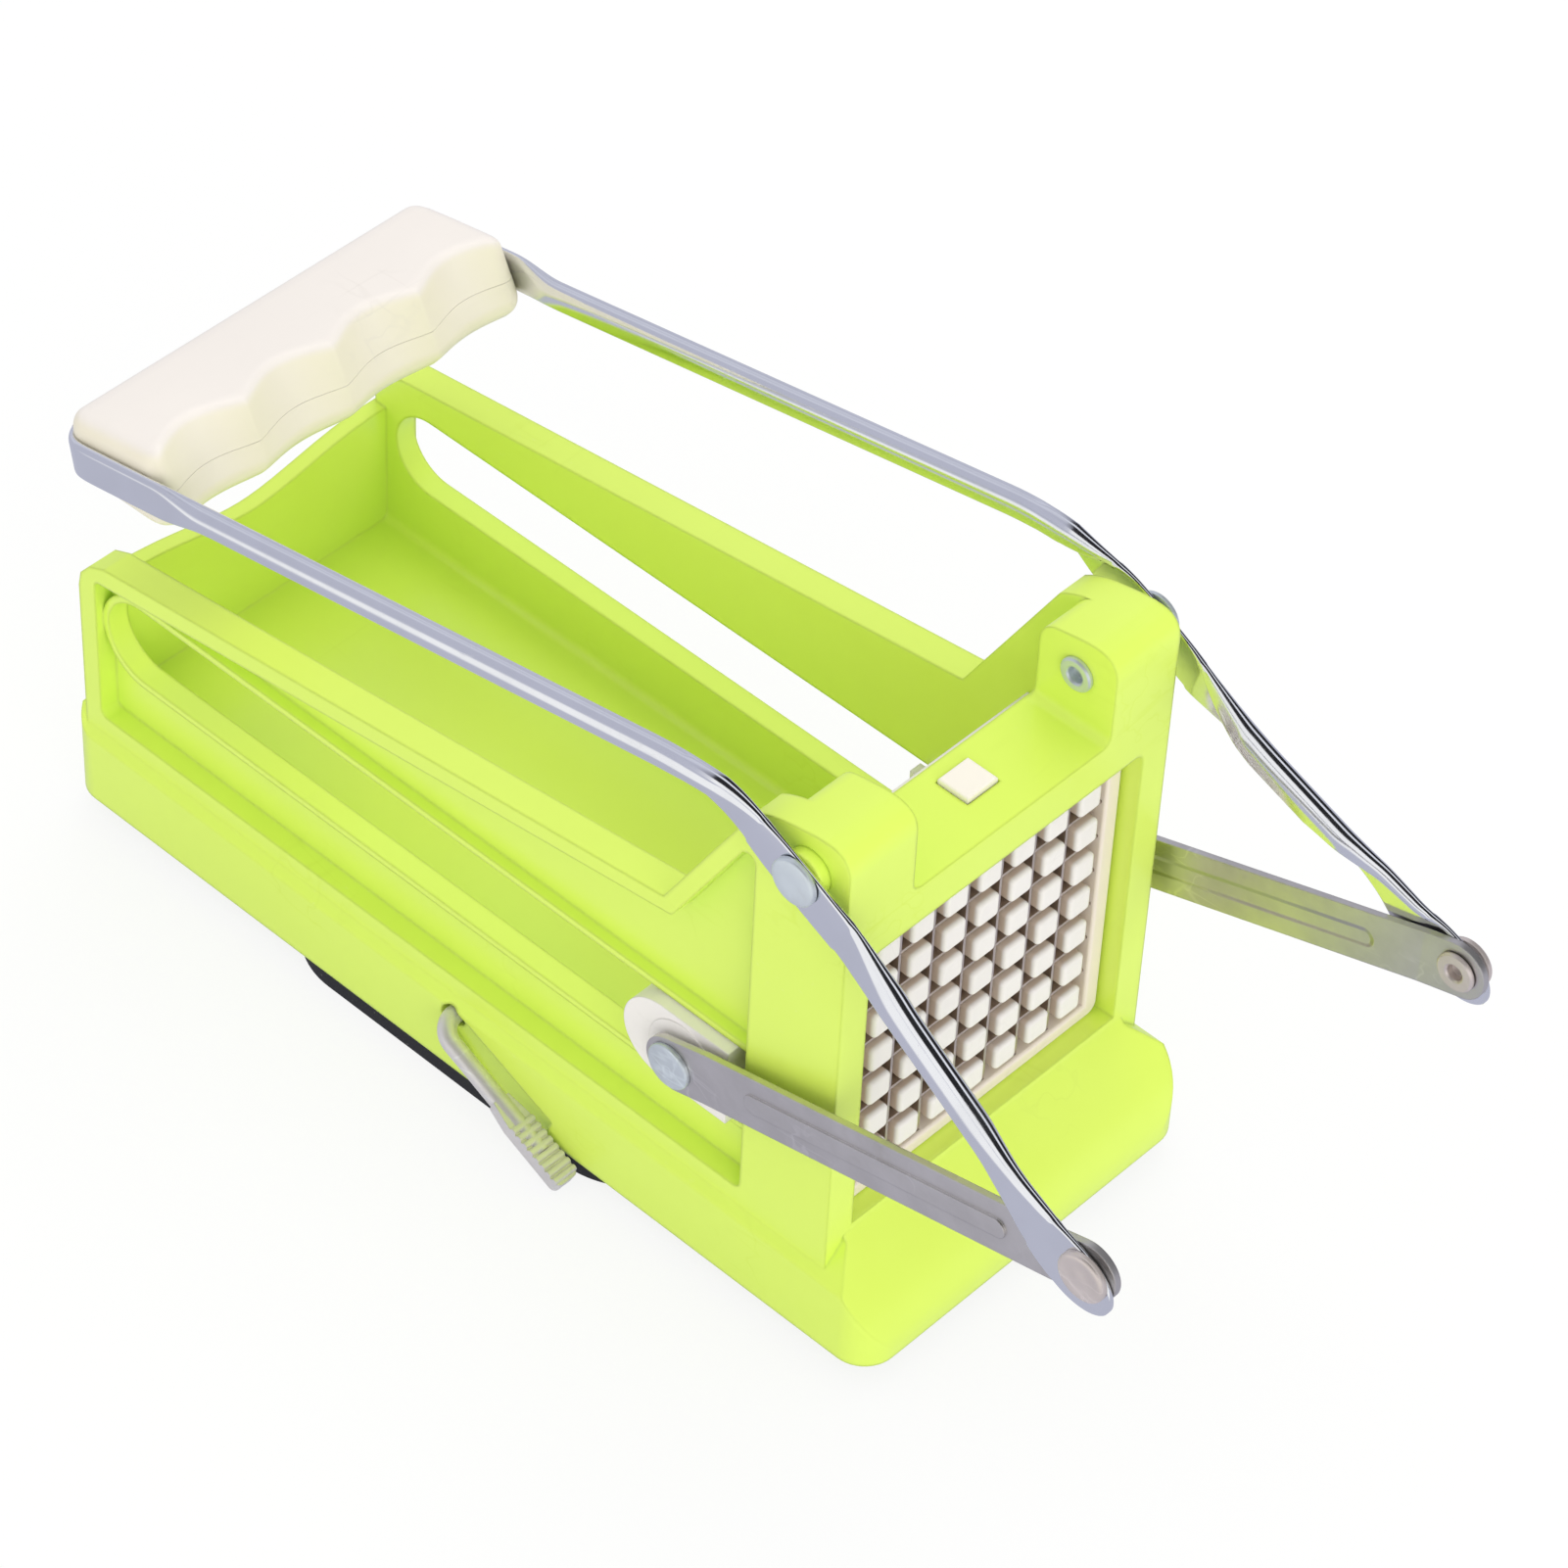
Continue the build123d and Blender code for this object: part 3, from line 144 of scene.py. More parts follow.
class Paint:
    """A material under construction: its nodes, its place on the object, its Principled shader."""

    light_node = "ShaderNodeEmission"

    def __init__(self, name, metallic=0.0, specular=0.5, coat=0.0, coat_roughness=0.1):
        self.material = bpy.data.materials.new(name)
        self.material.use_nodes = True
        self.tree = self.material.node_tree
        self.shader = self.tree.nodes["Principled BSDF"]
        self.shader.inputs["Metallic"].default_value = metallic
        self.shader.inputs["Specular IOR Level"].default_value = specular
        self.shader.inputs["Coat Weight"].default_value = coat
        self.shader.inputs["Coat Roughness"].default_value = coat_roughness
        self.place = self.add("ShaderNodeTexCoord", output="Object")
        self.relief = []

    def plug(self, socket, value):
        """Links a wire to the socket, or sets the socket's value."""
        if isinstance(value, Wire):
            self.tree.links.new(value.socket, socket)
        else:
            socket.default_value = value

    def add(self, kind, settings=None, sockets=None, output=0):
        """A node of this kind; its settings go on first, then what its sockets take."""
        node = self.tree.nodes.new(kind)
        for key, value in (settings or {}).items():
            setattr(node, key, value)
        for key, value in (sockets or {}).items():
            self.plug(node.inputs[key], value)
        return Wire(self, node.outputs[output])

    def stretched(self, x, y, z, turn=(0.0, 0.0, 0.0)):
        """Object coordinates scaled along each axis, for streaks and drawn marks."""
        sockets = {"Vector": self.place, "Scale": (x, y, z), "Rotation": turn}
        return self.add("ShaderNodeMapping", None, sockets)

    def noise(self, scale, detail=3.0, roughness=0.5, at=None, distortion=0.0):
        """Noise from 0 to 1 with this many waves to the metre."""
        sockets = {"Vector": at or self.place, "Scale": scale, "Detail": detail}
        sockets.update({"Roughness": roughness, "Distortion": distortion})
        return self.add("ShaderNodeTexNoise", None, sockets)

    def cells(self, scale):
        """Distance to the nearest of scattered points, with this many to the metre."""
        return self.add("ShaderNodeTexVoronoi", None, {"Vector": self.place, "Scale": scale})

    def split(self, vector=None):
        """The three coordinates of a vector, as wires; of the place where none is given."""
        node = self.tree.nodes.new("ShaderNodeSeparateXYZ")
        self.plug(node.inputs[0], vector or self.place)
        return [Wire(self, out) for out in node.outputs]

    def facing(self):
        """The surface's direction in the piece's own space, as three wires."""
        return self.split(self.add("ShaderNodeTexCoord", output="Normal"))

    def mix(self, factor, first, second):
        """Colour between first and second."""
        sockets = {0: factor, 6: self.rgba(first), 7: self.rgba(second)}
        return self.add("ShaderNodeMix", {"data_type": "RGBA"}, sockets, output=2)

    def blend(self, factor, first, second):
        """Shader between first and second."""
        return self.add("ShaderNodeMixShader", None, {0: factor, 1: first, 2: second})

    def light(self, colour, strength=1.0):
        """Shader that gives off this colour."""
        sockets = {"Color": self.rgba(colour), "Strength": strength}
        return self.add(self.light_node, None, sockets)

    @staticmethod
    def rgba(colour):
        return colour if isinstance(colour, Wire) else (*colour, 1.0)

    def scratches(self, scale, width=0.03):
        """Fine curved scratches of two directions, broken by a slow noise.

        Each is a thin band where a stretched noise crosses its middle.
        """
        turn, thin_out = 0.6, 0.55
        lengthwise = self.stretched(1.0, 0.12, 1.0, (0.3, turn, turn))
        crosswise = self.stretched(0.15, 1.0, 1.0, (turn, 0.2, -turn))
        first = abs(self.noise(scale, 2.0, 0.4, lengthwise) - 0.5).band(width, 0.0)
        second = abs(self.noise(scale * 1.3, 2.0, 0.4, crosswise) - 0.5).band(width * 0.8, 0.0)
        worn = self.noise(scale * 0.35, 2.0).band(thin_out, thin_out + 0.15)
        return (first + second) * worn

    def raise_by(self, height, distance, strength):
        """Adds a layer of relief; the layers are chained into one bump in finish."""
        self.relief.append((height, distance, strength))

    def finish(self, colour, roughness, edge=0.0):
        """Joins colour, roughness and relief to the shader; edge is the radius of soft edges."""
        self.plug(self.shader.inputs["Base Color"], self.rgba(colour))
        self.plug(self.shader.inputs["Roughness"], roughness)
        normal = None
        if edge:
            normal = self.add("ShaderNodeBevel", {"samples": 6}, {"Radius": edge})
        for height, distance, strength in self.relief:
            sockets = {"Height": height, "Distance": distance, "Strength": strength}
            if normal:
                sockets["Normal"] = normal
            normal = self.add("ShaderNodeBump", None, sockets)
        if normal:
            self.plug(self.shader.inputs["Normal"], normal)
        return self.material


def tone(colour, gain):
    """The colour made lighter or darker by a gain on each channel."""
    return tuple(min(1.0, channel * gain) for channel in colour)


# ------------------------------------------------------------------ finishes


def moulded_plastic(name, colour, shade, roughness, edge, wear=1.0, side_shade=None, darkening=None):
    """Glossy moulding: slow flow marks, handling scratches, dust and a fine orange peel.

    A tone for sideways faces, where given, is painted shade: faces that look sideways take it, for
    the warmer, darker shading that the moulding shows away from the light. A span of x with a
    darker tone, where given, is painted shade for the shadow deep between the fingers: the surface
    takes it from the span's start on and is free of it again just short of the span's end.
    """
    paint = Paint(name, specular=0.45, coat=0.15, coat_roughness=0.18)
    flow = paint.noise(14.0, 4.0, 0.55, paint.stretched(0.5, 1.0, 1.4), distortion=0.6)
    cloud = paint.noise(46.0, 3.0)
    marks = paint.scratches(90.0) * wear
    dust = paint.noise(700.0, 2.0).band(0.66, 0.8) * paint.noise(38.0).band(0.5, 0.7) * wear
    surface = paint.mix(flow.band(0.3, 0.75) * 0.5, colour, shade)
    if side_shade is not None:
        # Painted shade: faces that look sideways take the warmer, darker side tone.
        upward = paint.facing()[2]
        surface = paint.mix(upward.band(0.85, 0.35) * 0.8, surface, side_shade)
    if darkening is not None:
        root, tip, recess_shade_tone = darkening
        along = paint.split()[0]
        # Painted shade for the shadow between the fingers: darker from the span's start towards the
        # tips, gone just short of them.
        inside = along.band(root, tip - 3 * MM) * along.band(tip - 0.7 * MM, tip - 1.6 * MM)
        surface = paint.mix(inside * (0.6 + flow * 0.25), surface, recess_shade_tone)
    surface = paint.mix(cloud.band(0.35, 0.8) * 0.16, surface, tone(colour, 1.08))
    surface = paint.mix(marks * 0.12, surface, tone(shade, 0.82))
    surface = paint.mix(dust * 0.1, surface, (0.9, 0.9, 0.86))
    gloss = roughness + cloud * 0.1 + marks * 0.2 + dust * 0.25 + (flow - 0.5) * 0.08
    paint.raise_by(paint.noise(1500.0, 2.0), 0.012 * MM, 0.5)
    paint.raise_by(paint.noise(160.0, 2.0), 0.05 * MM, 0.35)
    paint.raise_by(marks * -1.0, 0.02 * MM, 0.5)
    return paint.finish(surface, gloss, edge)


def plated_strip(name, colour):
    """Bright plating: drawing lines along the strip, faint haze, pits and polishing scratches."""
    paint = Paint(name, metallic=1.0)
    lines = paint.noise(420.0, 3.0, 0.6, paint.stretched(0.04, 1.0, 1.0))
    haze = paint.noise(60.0, 4.0, 0.6)
    marks = paint.scratches(150.0, 0.02)
    pits = paint.cells(900.0).band(0.12, 0.03) * paint.noise(90.0).band(0.55, 0.7)
    surface = paint.mix(haze.band(0.35, 0.75) * 0.3, colour, tone(colour, 0.86))
    surface = paint.mix(pits * 0.5, surface, (0.33, 0.3, 0.28))
    gloss = 0.09 + haze.band(0.4, 0.8) * 0.09 + lines * 0.05 + marks * 0.15 + pits * 0.3
    paint.raise_by(lines, 0.004 * MM, 0.4)
    paint.raise_by(haze, 0.06 * MM, 0.25)
    paint.raise_by(pits * -1.0, 0.03 * MM, 0.6)
    return paint.finish(surface, gloss)


def rolled_steel(name, colour, roughness, edge=0.3 * MM, grain=(0.05, 1.0, 1.0), metallic=1.0,
                 pressed=None):
    """Steel with rolling grain, dull patches, scratches and slight staining.

    `pressed` is a start, an axis and a length in x and z. It gives the side towards the middle
    plane a long round-ended groove, whose depth follows the distance to that segment.
    """
    paint = Paint(name, metallic=metallic)
    lines = paint.noise(900.0, 3.0, 0.6, paint.stretched(*grain))
    patch = paint.noise(70.0, 4.0, 0.6)
    marks = paint.scratches(140.0)
    darkening = paint.noise(28.0, 5.0, 0.65).band(0.56, 0.72)
    surface = paint.mix(patch.band(0.3, 0.75) * 0.6, colour, tone(colour, 0.8))
    surface = paint.mix(darkening * 0.3, surface, (0.34, 0.31, 0.28))
    surface = paint.mix(marks * 0.35, surface, tone(colour, 1.3))
    gloss = roughness + lines * 0.12 + patch * 0.12 + darkening * 0.1 - marks * 0.06
    paint.raise_by(lines, 0.01 * MM, 0.5)
    paint.raise_by(patch, 0.05 * MM, 0.3)
    if pressed is not None:
        start, axis, length = pressed
        x, y, z = paint.split()
        ahead = (x - start[0]) * axis[0] + (z - start[1]) * axis[1]
        aside = (z - start[1]) * axis[0] - (x - start[0]) * axis[1]
        beyond = (abs(ahead - length / 2) - length / 2).math("MAXIMUM", 0.0)
        distance = (beyond * beyond + aside * aside) ** 0.5
        inner_side = (paint.facing()[1] * y).band(-0.01, -0.03)
        paint.raise_by(distance.band(1.5 * MM, 2.6 * MM) * inner_side, 0.6 * MM, 1.0)
    return paint.finish(surface, gloss, edge)


def black_rubber(name, colour):
    """Matt rubber: bloom, lint and a fine grain."""
    paint = Paint(name, specular=0.35)
    bloom = paint.noise(55.0, 4.0, 0.6)
    lint = paint.noise(900.0, 2.0).band(0.68, 0.78)
    surface = paint.mix(bloom.band(0.35, 0.8) * 0.5, colour, tone(colour, 2.0))
    surface = paint.mix(lint * 0.35, surface, (0.35, 0.34, 0.32))
    paint.raise_by(paint.noise(1300.0, 3.0), 0.03 * MM, 0.6)
    paint.raise_by(bloom, 0.1 * MM, 0.3)
    return paint.finish(surface, 0.55 + bloom * 0.2, 0.5 * MM)


def dress(nodes, material):
    """Puts one material on CAD nodes, in place of their packed one."""
    for node in nodes:
        mesh = frame["nodes"][node].data
        mesh.materials.clear()
        mesh.materials.append(material)


# ------------------------------------------------------------------ surfaces


def grid_mesh(name, rows, material, sharp=0.9):
    """Closed skin over an array of rings: rows[i, j] is a point in millimetres on ring i.

    Neighbouring rings are joined by quads that wrap round j, and each end ring is closed by a fan
    to its middle. Edges that bend by more than `sharp` radians stay crisp.
    """
    count, around = rows.shape[:2]
    ring = np.arange(count * around).reshape(count, around)
    after = np.roll(ring, -1, axis=1)
    quads = np.stack([ring[:-1], after[:-1], after[1:], ring[1:]], axis=-1).reshape(-1, 4)
    middles = np.array([rows[0].mean(0), rows[-1].mean(0)])
    low, high = count * around, count * around + 1
    first = np.stack([after[0], ring[0], np.full(around, low)], axis=-1)
    last = np.stack([ring[-1], after[-1], np.full(around, high)], axis=-1)
    points = np.concatenate([rows.reshape(-1, 3), middles]) * MM
    mesh = bpy.data.meshes.new(name)
    mesh.from_pydata(points.tolist(), [], quads.tolist() + first.tolist() + last.tolist())
    mesh.validate()
    mesh.polygons.foreach_set("use_smooth", np.ones(len(mesh.polygons), bool))
    mesh.update()
    triangles = np.concatenate([quads[:, [0, 1, 2]], quads[:, [0, 2, 3]], first, last])
    if signed_volume(points, triangles) < 0:
        mesh.flip_normals()
    mesh.set_sharp_from_angle(angle=sharp)
    mesh.materials.append(material)
    piece = bpy.data.objects.new(name, mesh)
    bpy.context.scene.collection.objects.link(piece)
    return piece


def signed_volume(points, triangles):
    """Sum of the tetrahedra from the origin to each triangle, positive for outward faces."""
    a, b, c = (points[triangles[:, k]] for k in range(3))
    return float(np.einsum("ij,ij->", a, np.cross(b, c)) / 6.0)


def smoothed(values, window):
    """Moving average over an odd window, with the ends held."""
    half = window // 2
    padded = np.concatenate([np.repeat(values[:1], half), values, np.repeat(values[-1:], half)])
    return np.convolve(padded, np.ones(window) / window, mode="valid")


def looked_up(place, table, column=1):
    """Values of a table's column at each place, straight between the stations of column 0."""
    table = np.array(table)
    return np.interp(place, table[:, 0], table[:, column])


def strip_section(half_width, top, bottom, hollow, flange, groove):
    """Ring of a folded strip for each station, n outwards from its middle and u upwards.

    The top is an arch, u = top - d + d cos(a) and n = w - c + c sin(a), with a groove
    exp(-(n / 0.3 w)^2) along its middle. Below it hang a web on the outer side, set in by a small
    step where the strip is broad, and, by a share `flange`, a flange on the inner side; the room
    between them reaches up to the arch by a share `hollow`.
    """
    gauge, step_in, broad_from, groove_share = 1.0, 0.3, 0.9, 0.3
    angle = np.linspace(0, np.pi / 2, 14)[None, :]
    half_width, top, bottom, hollow, flange, groove = (
        v[:, None] for v in (half_width, top, bottom, hollow, flange, groove))
    broad = half_width > broad_from
    corner = np.minimum(half_width, 0.45 * (top - bottom))
    drop = np.where(broad, np.minimum(1.9 * half_width, 0.7 * (top - bottom)), corner)
    arch_n = half_width - corner + corner * np.sin(angle)
    arch_u = top - drop + drop * np.cos(angle)
    arch_u = arch_u - groove * np.exp(-((arch_n / half_width / groove_share) ** 2))
    foot = np.minimum(gauge / 2, half_width / 2)
    inner_foot = np.minimum(gauge / 2, (half_width - foot) / 2)
    ceiling = top - gauge * flange - np.maximum(gauge, 1.6 * half_width) * (1 - flange)
    roof = bottom + foot + hollow * np.maximum(ceiling - bottom - foot, 0.0)
    lip = bottom * flange + (roof - inner_foot) * (1 - flange)
    step = step_in * np.minimum(1.0, hollow) * broad
    web_n = half_width - step - foot + foot * np.cos(angle * 2)
    web_u = bottom + foot - foot * np.sin(angle * 2)
    lip_n = inner_foot - half_width + inner_foot * np.cos(angle * 2)
    lip_u = lip + inner_foot - inner_foot * np.sin(angle * 2)
    room_out, room_in = half_width - 2 * foot, 2 * inner_foot - half_width
    roof_n = room_out + (room_in - room_out) * np.linspace(0, 1, 5)[None, :]
    roof_u = np.broadcast_to(roof, roof_n.shape)
    n = np.concatenate([arch_n, web_n, roof_n, lip_n, -arch_n[:, :0:-1]], axis=1)
    u = np.concatenate([arch_u, web_u, roof_u, lip_u, arch_u[:, :0:-1]], axis=1)
    return n, u


def lever_strip(name, sizes, material):
    """Folded strip of the lever: a rounded channel section carried along its bent path.

    Half the path runs from the middle of the cross bar round the corner, up the sloping arm, over
    the bend and down the front arm to its round end. Positions along it set the outer face's
    distance from the middle plane, the half width, and the edges above and below the path. The
    other half is its mirror image.
    """
    droop = np.arctan2(LEVER_PIVOT[2] - LINK_PIVOT[2], LINK_PIVOT[0] - LEVER_PIVOT[0])
    tilt = np.radians(sizes.arm_tilt)

    # Rear half: s along the sloping plane and y, on the strip's outer face
    turn = np.linspace(0, np.pi / 2, 24)
    bar = np.linspace(0, ARM_OUT - CORNER_RADIUS, 24)[:-1]
    run = np.linspace(BELT_REAR + CORNER_RADIUS, ARM_END, 150)[1:]
    corner_s = BELT_REAR + CORNER_RADIUS * (1 - np.cos(turn))
    corner_y = ARM_OUT - CORNER_RADIUS + CORNER_RADIUS * np.sin(turn)
    s = np.concatenate([np.full(bar.size, BELT_REAR), corner_s, run])
    y = np.concatenate([bar, corner_y, np.full(run.size, ARM_OUT)])
    rear = np.stack([GRIP_X + s * np.cos(tilt), y, GRIP_Z + s * np.sin(tilt)], axis=1)
    belt = np.clip((27.0 - s) / 14.0, 0, 1)
    belt = belt * belt * (3 - 2 * belt)
    rear_half_width = BEAD_HALF_WIDTH + (BELT_HALF_WIDTH - BEAD_HALF_WIDTH) * belt
    rear_reach = BEAD_REACH + (BELT_REACH - BEAD_REACH) * belt

    # Front half: distance `along` the line of pivots; its last stations crowd into the round end
    closing = np.sin(np.linspace(0, np.pi / 2, 26))[1:]
    along = np.concatenate([
        np.linspace(FRONT_START, FRONT_CLOSING, 150),
        FRONT_CLOSING + (FRONT_END - FRONT_CLOSING) * closing,
    ])
    above = smoothed(looked_up(along, FRONT_EDGES, 1), 7)
    below = smoothed(looked_up(along, FRONT_EDGES, 2), 7)
    middle = (above + below) / 2
    round_from, round_reach, flattest = 91.0, 9.95, 0.0004
    into_round = np.clip((along - round_from) / round_reach, 0, 1)
    front_reach = (above - below) / 2 * np.sqrt(np.clip(1 - into_round ** 2, flattest, 1))
    front = np.stack([
        LEVER_PIVOT[0] + along * np.cos(droop) + middle * np.sin(droop),
        looked_up(along, FRONT_FACE),
        LEVER_PIVOT[2] - along * np.sin(droop) + middle * np.cos(droop),
    ], axis=1)

    # Both halves in one run, with what the section needs at each station
    outer = np.concatenate([rear, front])
    half_width = np.concatenate([rear_half_width, looked_up(along, FRONT_HALF_WIDTH)])
    half_width = smoothed(half_width, 5)
    reach = np.concatenate([rear_reach, front_reach])
    hollow = np.concatenate([np.clip((s - 22.0) / 8.0, 0, 1), np.ones(along.size)])
    flange = np.concatenate([np.ones(s.size), looked_up(along, FRONT_FLANGE)])
    groove = np.concatenate([np.clip((s - 14.0) / 12.0, 0, 1), np.full(along.size, 0.15)])
    groove = groove * sizes.bead_groove * half_width / half_width.max()

    # The bends are rounded, but neither the cross bar nor the round end
    between = slice(30, -45)
    for axis in range(3):
        outer[between, axis] = smoothed(outer[:, axis], 9)[between]

    # The section's upright follows the arm's slope; its middle lies half a width inside the face
    tangent = np.gradient(outer, axis=0)
    tangent /= np.linalg.norm(tangent, axis=1)[:, None]
    bend_start, bend_end = len(rear) - 4, len(rear) + 4
    lean = np.interp(np.arange(len(outer)), [bend_start, bend_end], [tilt, -droop])
    upward = np.stack([-np.sin(lean), np.zeros(len(lean)), np.cos(lean)], axis=1)
    outward = np.cross(upward, tangent)
    outward /= np.linalg.norm(outward, axis=1)[:, None]
    rearward = outward[:, 0:1] < -0.5
    outward *= np.where(outward[:, 1:2] + rearward >= 0, 1.0, -1.0)
    centre = outer - outward * half_width[:, None]
    n, u = strip_section(half_width, reach, -reach, hollow, flange, groove)
    half_rows = centre[:, None, :] + n[..., None] * outward[:, None, :]
    half_rows = half_rows + u[..., None] * upward[:, None, :]
    mirrored = half_rows[::-1] * np.array([1.0, -1.0, 1.0])
    rows = np.concatenate([mirrored[:-1], half_rows])
    return grid_mesh(name, rows, material)


def scallop_depth(y, pitch, count, depth):
    """Depth of the finger scallops at y: a row of round hollows that meet in ridges."""
    place = y / pitch + count / 2
    inside = (place > 0) & (place < count)
    across = (place - np.floor(place)) * 2 - 1
    return np.where(inside, depth * np.cos(across * np.pi / 2) ** 1.3, 0.0)


def grip_half(name, outline, sizes, material):
    """Half of the grip: its section in the sloping plane, s along and u above, carried across in y.

    The section shrinks in a quarter circle at both ends. Its front part is drawn back by the
    scallops, s' = s - depth(y) * share(s) * fade(u): share rises from the middle to the front
    wall, so that the flat top ends in a wavy edge, and fade weakens the scallops down the wall.
    """
    tilt = np.radians(sizes.arm_tilt)
    outline = np.array(outline)
    step = np.concatenate([[0.0], np.cumsum(np.hypot(*np.diff(outline, axis=0).T))])
    place = np.linspace(0, step[-1], 180)
    s = smoothed(np.interp(place, step, outline[:, 0]), 7)
    u = smoothed(np.interp(place, step, outline[:, 1]), 7)
    s[[0, -1]], u[[0, -1]] = outline[[0, -1], 0], outline[[0, -1], 1]

    straight = GRIP_HALF_LENGTH - GRIP_ROUND
    end = straight + GRIP_ROUND * np.sin(np.linspace(0, np.pi / 2, 10))
    y = np.concatenate([-end[::-1], np.linspace(-straight, straight, 240)[1:-1], end])
    into_end = np.clip((np.abs(y) - GRIP_HALF_LENGTH + GRIP_ROUND) / GRIP_ROUND, 0, 1)
    inset = GRIP_ROUND * (1 - np.sqrt(np.clip(1 - into_end ** 2, 0, 1)))
    middle_s, half_s = (s.max() + s.min()) / 2, (s.max() - s.min()) / 2
    along = middle_s + (s - middle_s)[None, :] * (1 - inset[:, None] / half_s)
    above = u[None, :] * (1 - inset[:, None] / np.abs(u).max())

    share = np.clip((s + 4.0) / 16.0, 0, 1)
    fade = np.clip(0.72 + 0.035 * u, 0.4, 1)
    depth = scallop_depth(y, sizes.finger_pitch, GRIP_FINGERS, sizes.finger_depth)
    along = along - (share * fade)[None, :] * depth[:, None]
    points = np.stack([
        GRIP_X + along * np.cos(tilt) - above * np.sin(tilt),
        np.broadcast_to(y[:, None], along.shape),
        GRIP_Z + along * np.sin(tilt) + above * np.cos(tilt),
    ], axis=-1)
    return grid_mesh(name, points, material)


# ------------------------------------------------------------------ add-on


class CutterSizes(bpy.types.PropertyGroup):
    arm_tilt: bpy.props.FloatProperty(
        name="Arm Tilt",
        description="Degrees that the rear arms rise towards the pivot",
        default=10.92,
    )
    finger_pitch: bpy.props.FloatProperty(
        name="Finger Pitch",
        description="Distance between the grip's ridges in millimetres",
        default=25.0,
    )
    finger_depth: bpy.props.FloatProperty(
        name="Finger Depth",
        description="Depth of the grip's scallops in millimetres",
        default=4.4,
    )
    bead_groove: bpy.props.FloatProperty(
        name="Bead Groove",
        description="Depth of the groove along the strip's top in millimetres",
        default=0.45,
    )


def colour_property(label, words, default):
    """A colour of the add-on, with its label, its description and its first value."""
    return bpy.props.FloatVectorProperty(
        name=label, description=words, subtype="COLOR", size=3, min=0.0, max=1.0, default=default
    )


class CutterColours(bpy.types.PropertyGroup):
    lime: colour_property("Lime", "Housing", (0.715, 0.905, 0.130))
    lime_shade: colour_property("Lime Shade", "Housing in its flow marks", (0.690, 0.880, 0.095))
    cream: colour_property("Cream", "Grip", (0.880, 0.825, 0.770))
    # Painted shade for the grip's sideways faces
    cream_side_shade: colour_property("Cream Side", "Grip seen sideways", (0.850, 0.790, 0.600))
    finger: colour_property("Finger", "Pusher", (0.870, 0.835, 0.800))
    # Painted shade for the shadow between the fingers, behind their tips
    finger_recess_shade: colour_property("Finger Recess Shade", "Behind the finger tips", (0.60, 0.42, 0.27))
    beige: colour_property("Beige", "Cartridge frame and stem", (0.860, 0.770, 0.660))
    ivory: colour_property("Ivory", "Latch button", (0.930, 0.875, 0.800))
    ivory_shade: colour_property("Ivory Shade", "Latch in its flow marks", (0.910, 0.840, 0.740))
    chrome: colour_property("Chrome", "Lever strip", (0.840, 0.850, 0.880))
    link: colour_property("Link Steel", "Links and suction lever", (0.690, 0.660, 0.640))
    rivet: colour_property("Rivet Zinc", "Post and pusher rivets", (0.700, 0.760, 0.800))
    nickel: colour_property("Rivet Nickel", "Link rivets", (0.740, 0.660, 0.620))
    blade: colour_property("Blade Steel", "Blades", (0.720, 0.640, 0.570))
    screw: colour_property("Screw Steel", "Grip screws", (0.500, 0.500, 0.520))
    rubber: colour_property("Rubber", "Suction pad", (0.016, 0.016, 0.018))


class FRY_OT_housing(bpy.types.Operator):
    """Finish the green housing and its washers."""

    bl_idname = "fry.housing"
    bl_label = "Housing"

    def execute(self, context):
        colours = context.scene.cutter_colours
        lime = moulded_plastic("lime_moulding", colours.lime, colours.lime_shade, 0.27, 1.2 * MM)
        dress(["housing", "near_post_washer", "far_post_washer"], lime)
        return {"FINISHED"}


class FRY_OT_cartridge(bpy.types.Operator):
    """Finish the blade cartridge, its blades, the latch and the suction stem."""

    bl_idname = "fry.cartridge"
    bl_label = "Blade Cartridge"

    def execute(self, context):
        colours = context.scene.cutter_colours
        shade = tone(colours.beige, 0.93)
        beige = moulded_plastic("beige_moulding", colours.beige, shade, 0.36, 0.3 * MM, 0.8)
        dress(["cartridge_frame", "suction_stem"], beige)
        shade = colours.ivory_shade
        ivory = moulded_plastic("ivory_moulding", colours.ivory, shade, 0.32, 0.5 * MM, 0.8)
        dress(["latch_button"], ivory)
        steel = rolled_steel("blade_steel", colours.blade, 0.22, edge=0.0)
        dress(["vertical_blades", "horizontal_blades"], steel)
        return {"FINISHED"}


class FRY_OT_pusher(bpy.types.Operator):
    """Finish the pusher and its fingers."""

    bl_idname = "fry.pusher"
    bl_label = "Pusher"

    def execute(self, context):
        colours = context.scene.cutter_colours
        tips = max(corner[0] for corner in frame["nodes"]["pusher"].bound_box)
        # Painted shade between the fingers, from 16 mm behind their tips to just short of them
        darkening = (tips - 16 * MM, tips, colours.finger_recess_shade)
        shade = tone(colours.finger, 0.94)
        fingers = moulded_plastic("finger_moulding", colours.finger, shade, 0.38, 0.5 * MM,
                                  darkening=darkening)
        dress(["pusher"], fingers)
        return {"FINISHED"}


class FRY_OT_lever(bpy.types.Operator):
    """Make the smooth lever strip in place of the CAD one."""

    bl_idname = "fry.lever"
    bl_label = "Lever Strip"

    def execute(self, context):
        material = plated_strip("bright_plating", context.scene.cutter_colours.chrome)
        strip = lever_strip("lever_strip", context.scene.cutter_sizes, material)
        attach(strip, "lever")
        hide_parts("lever_frame")
        return {"FINISHED"}


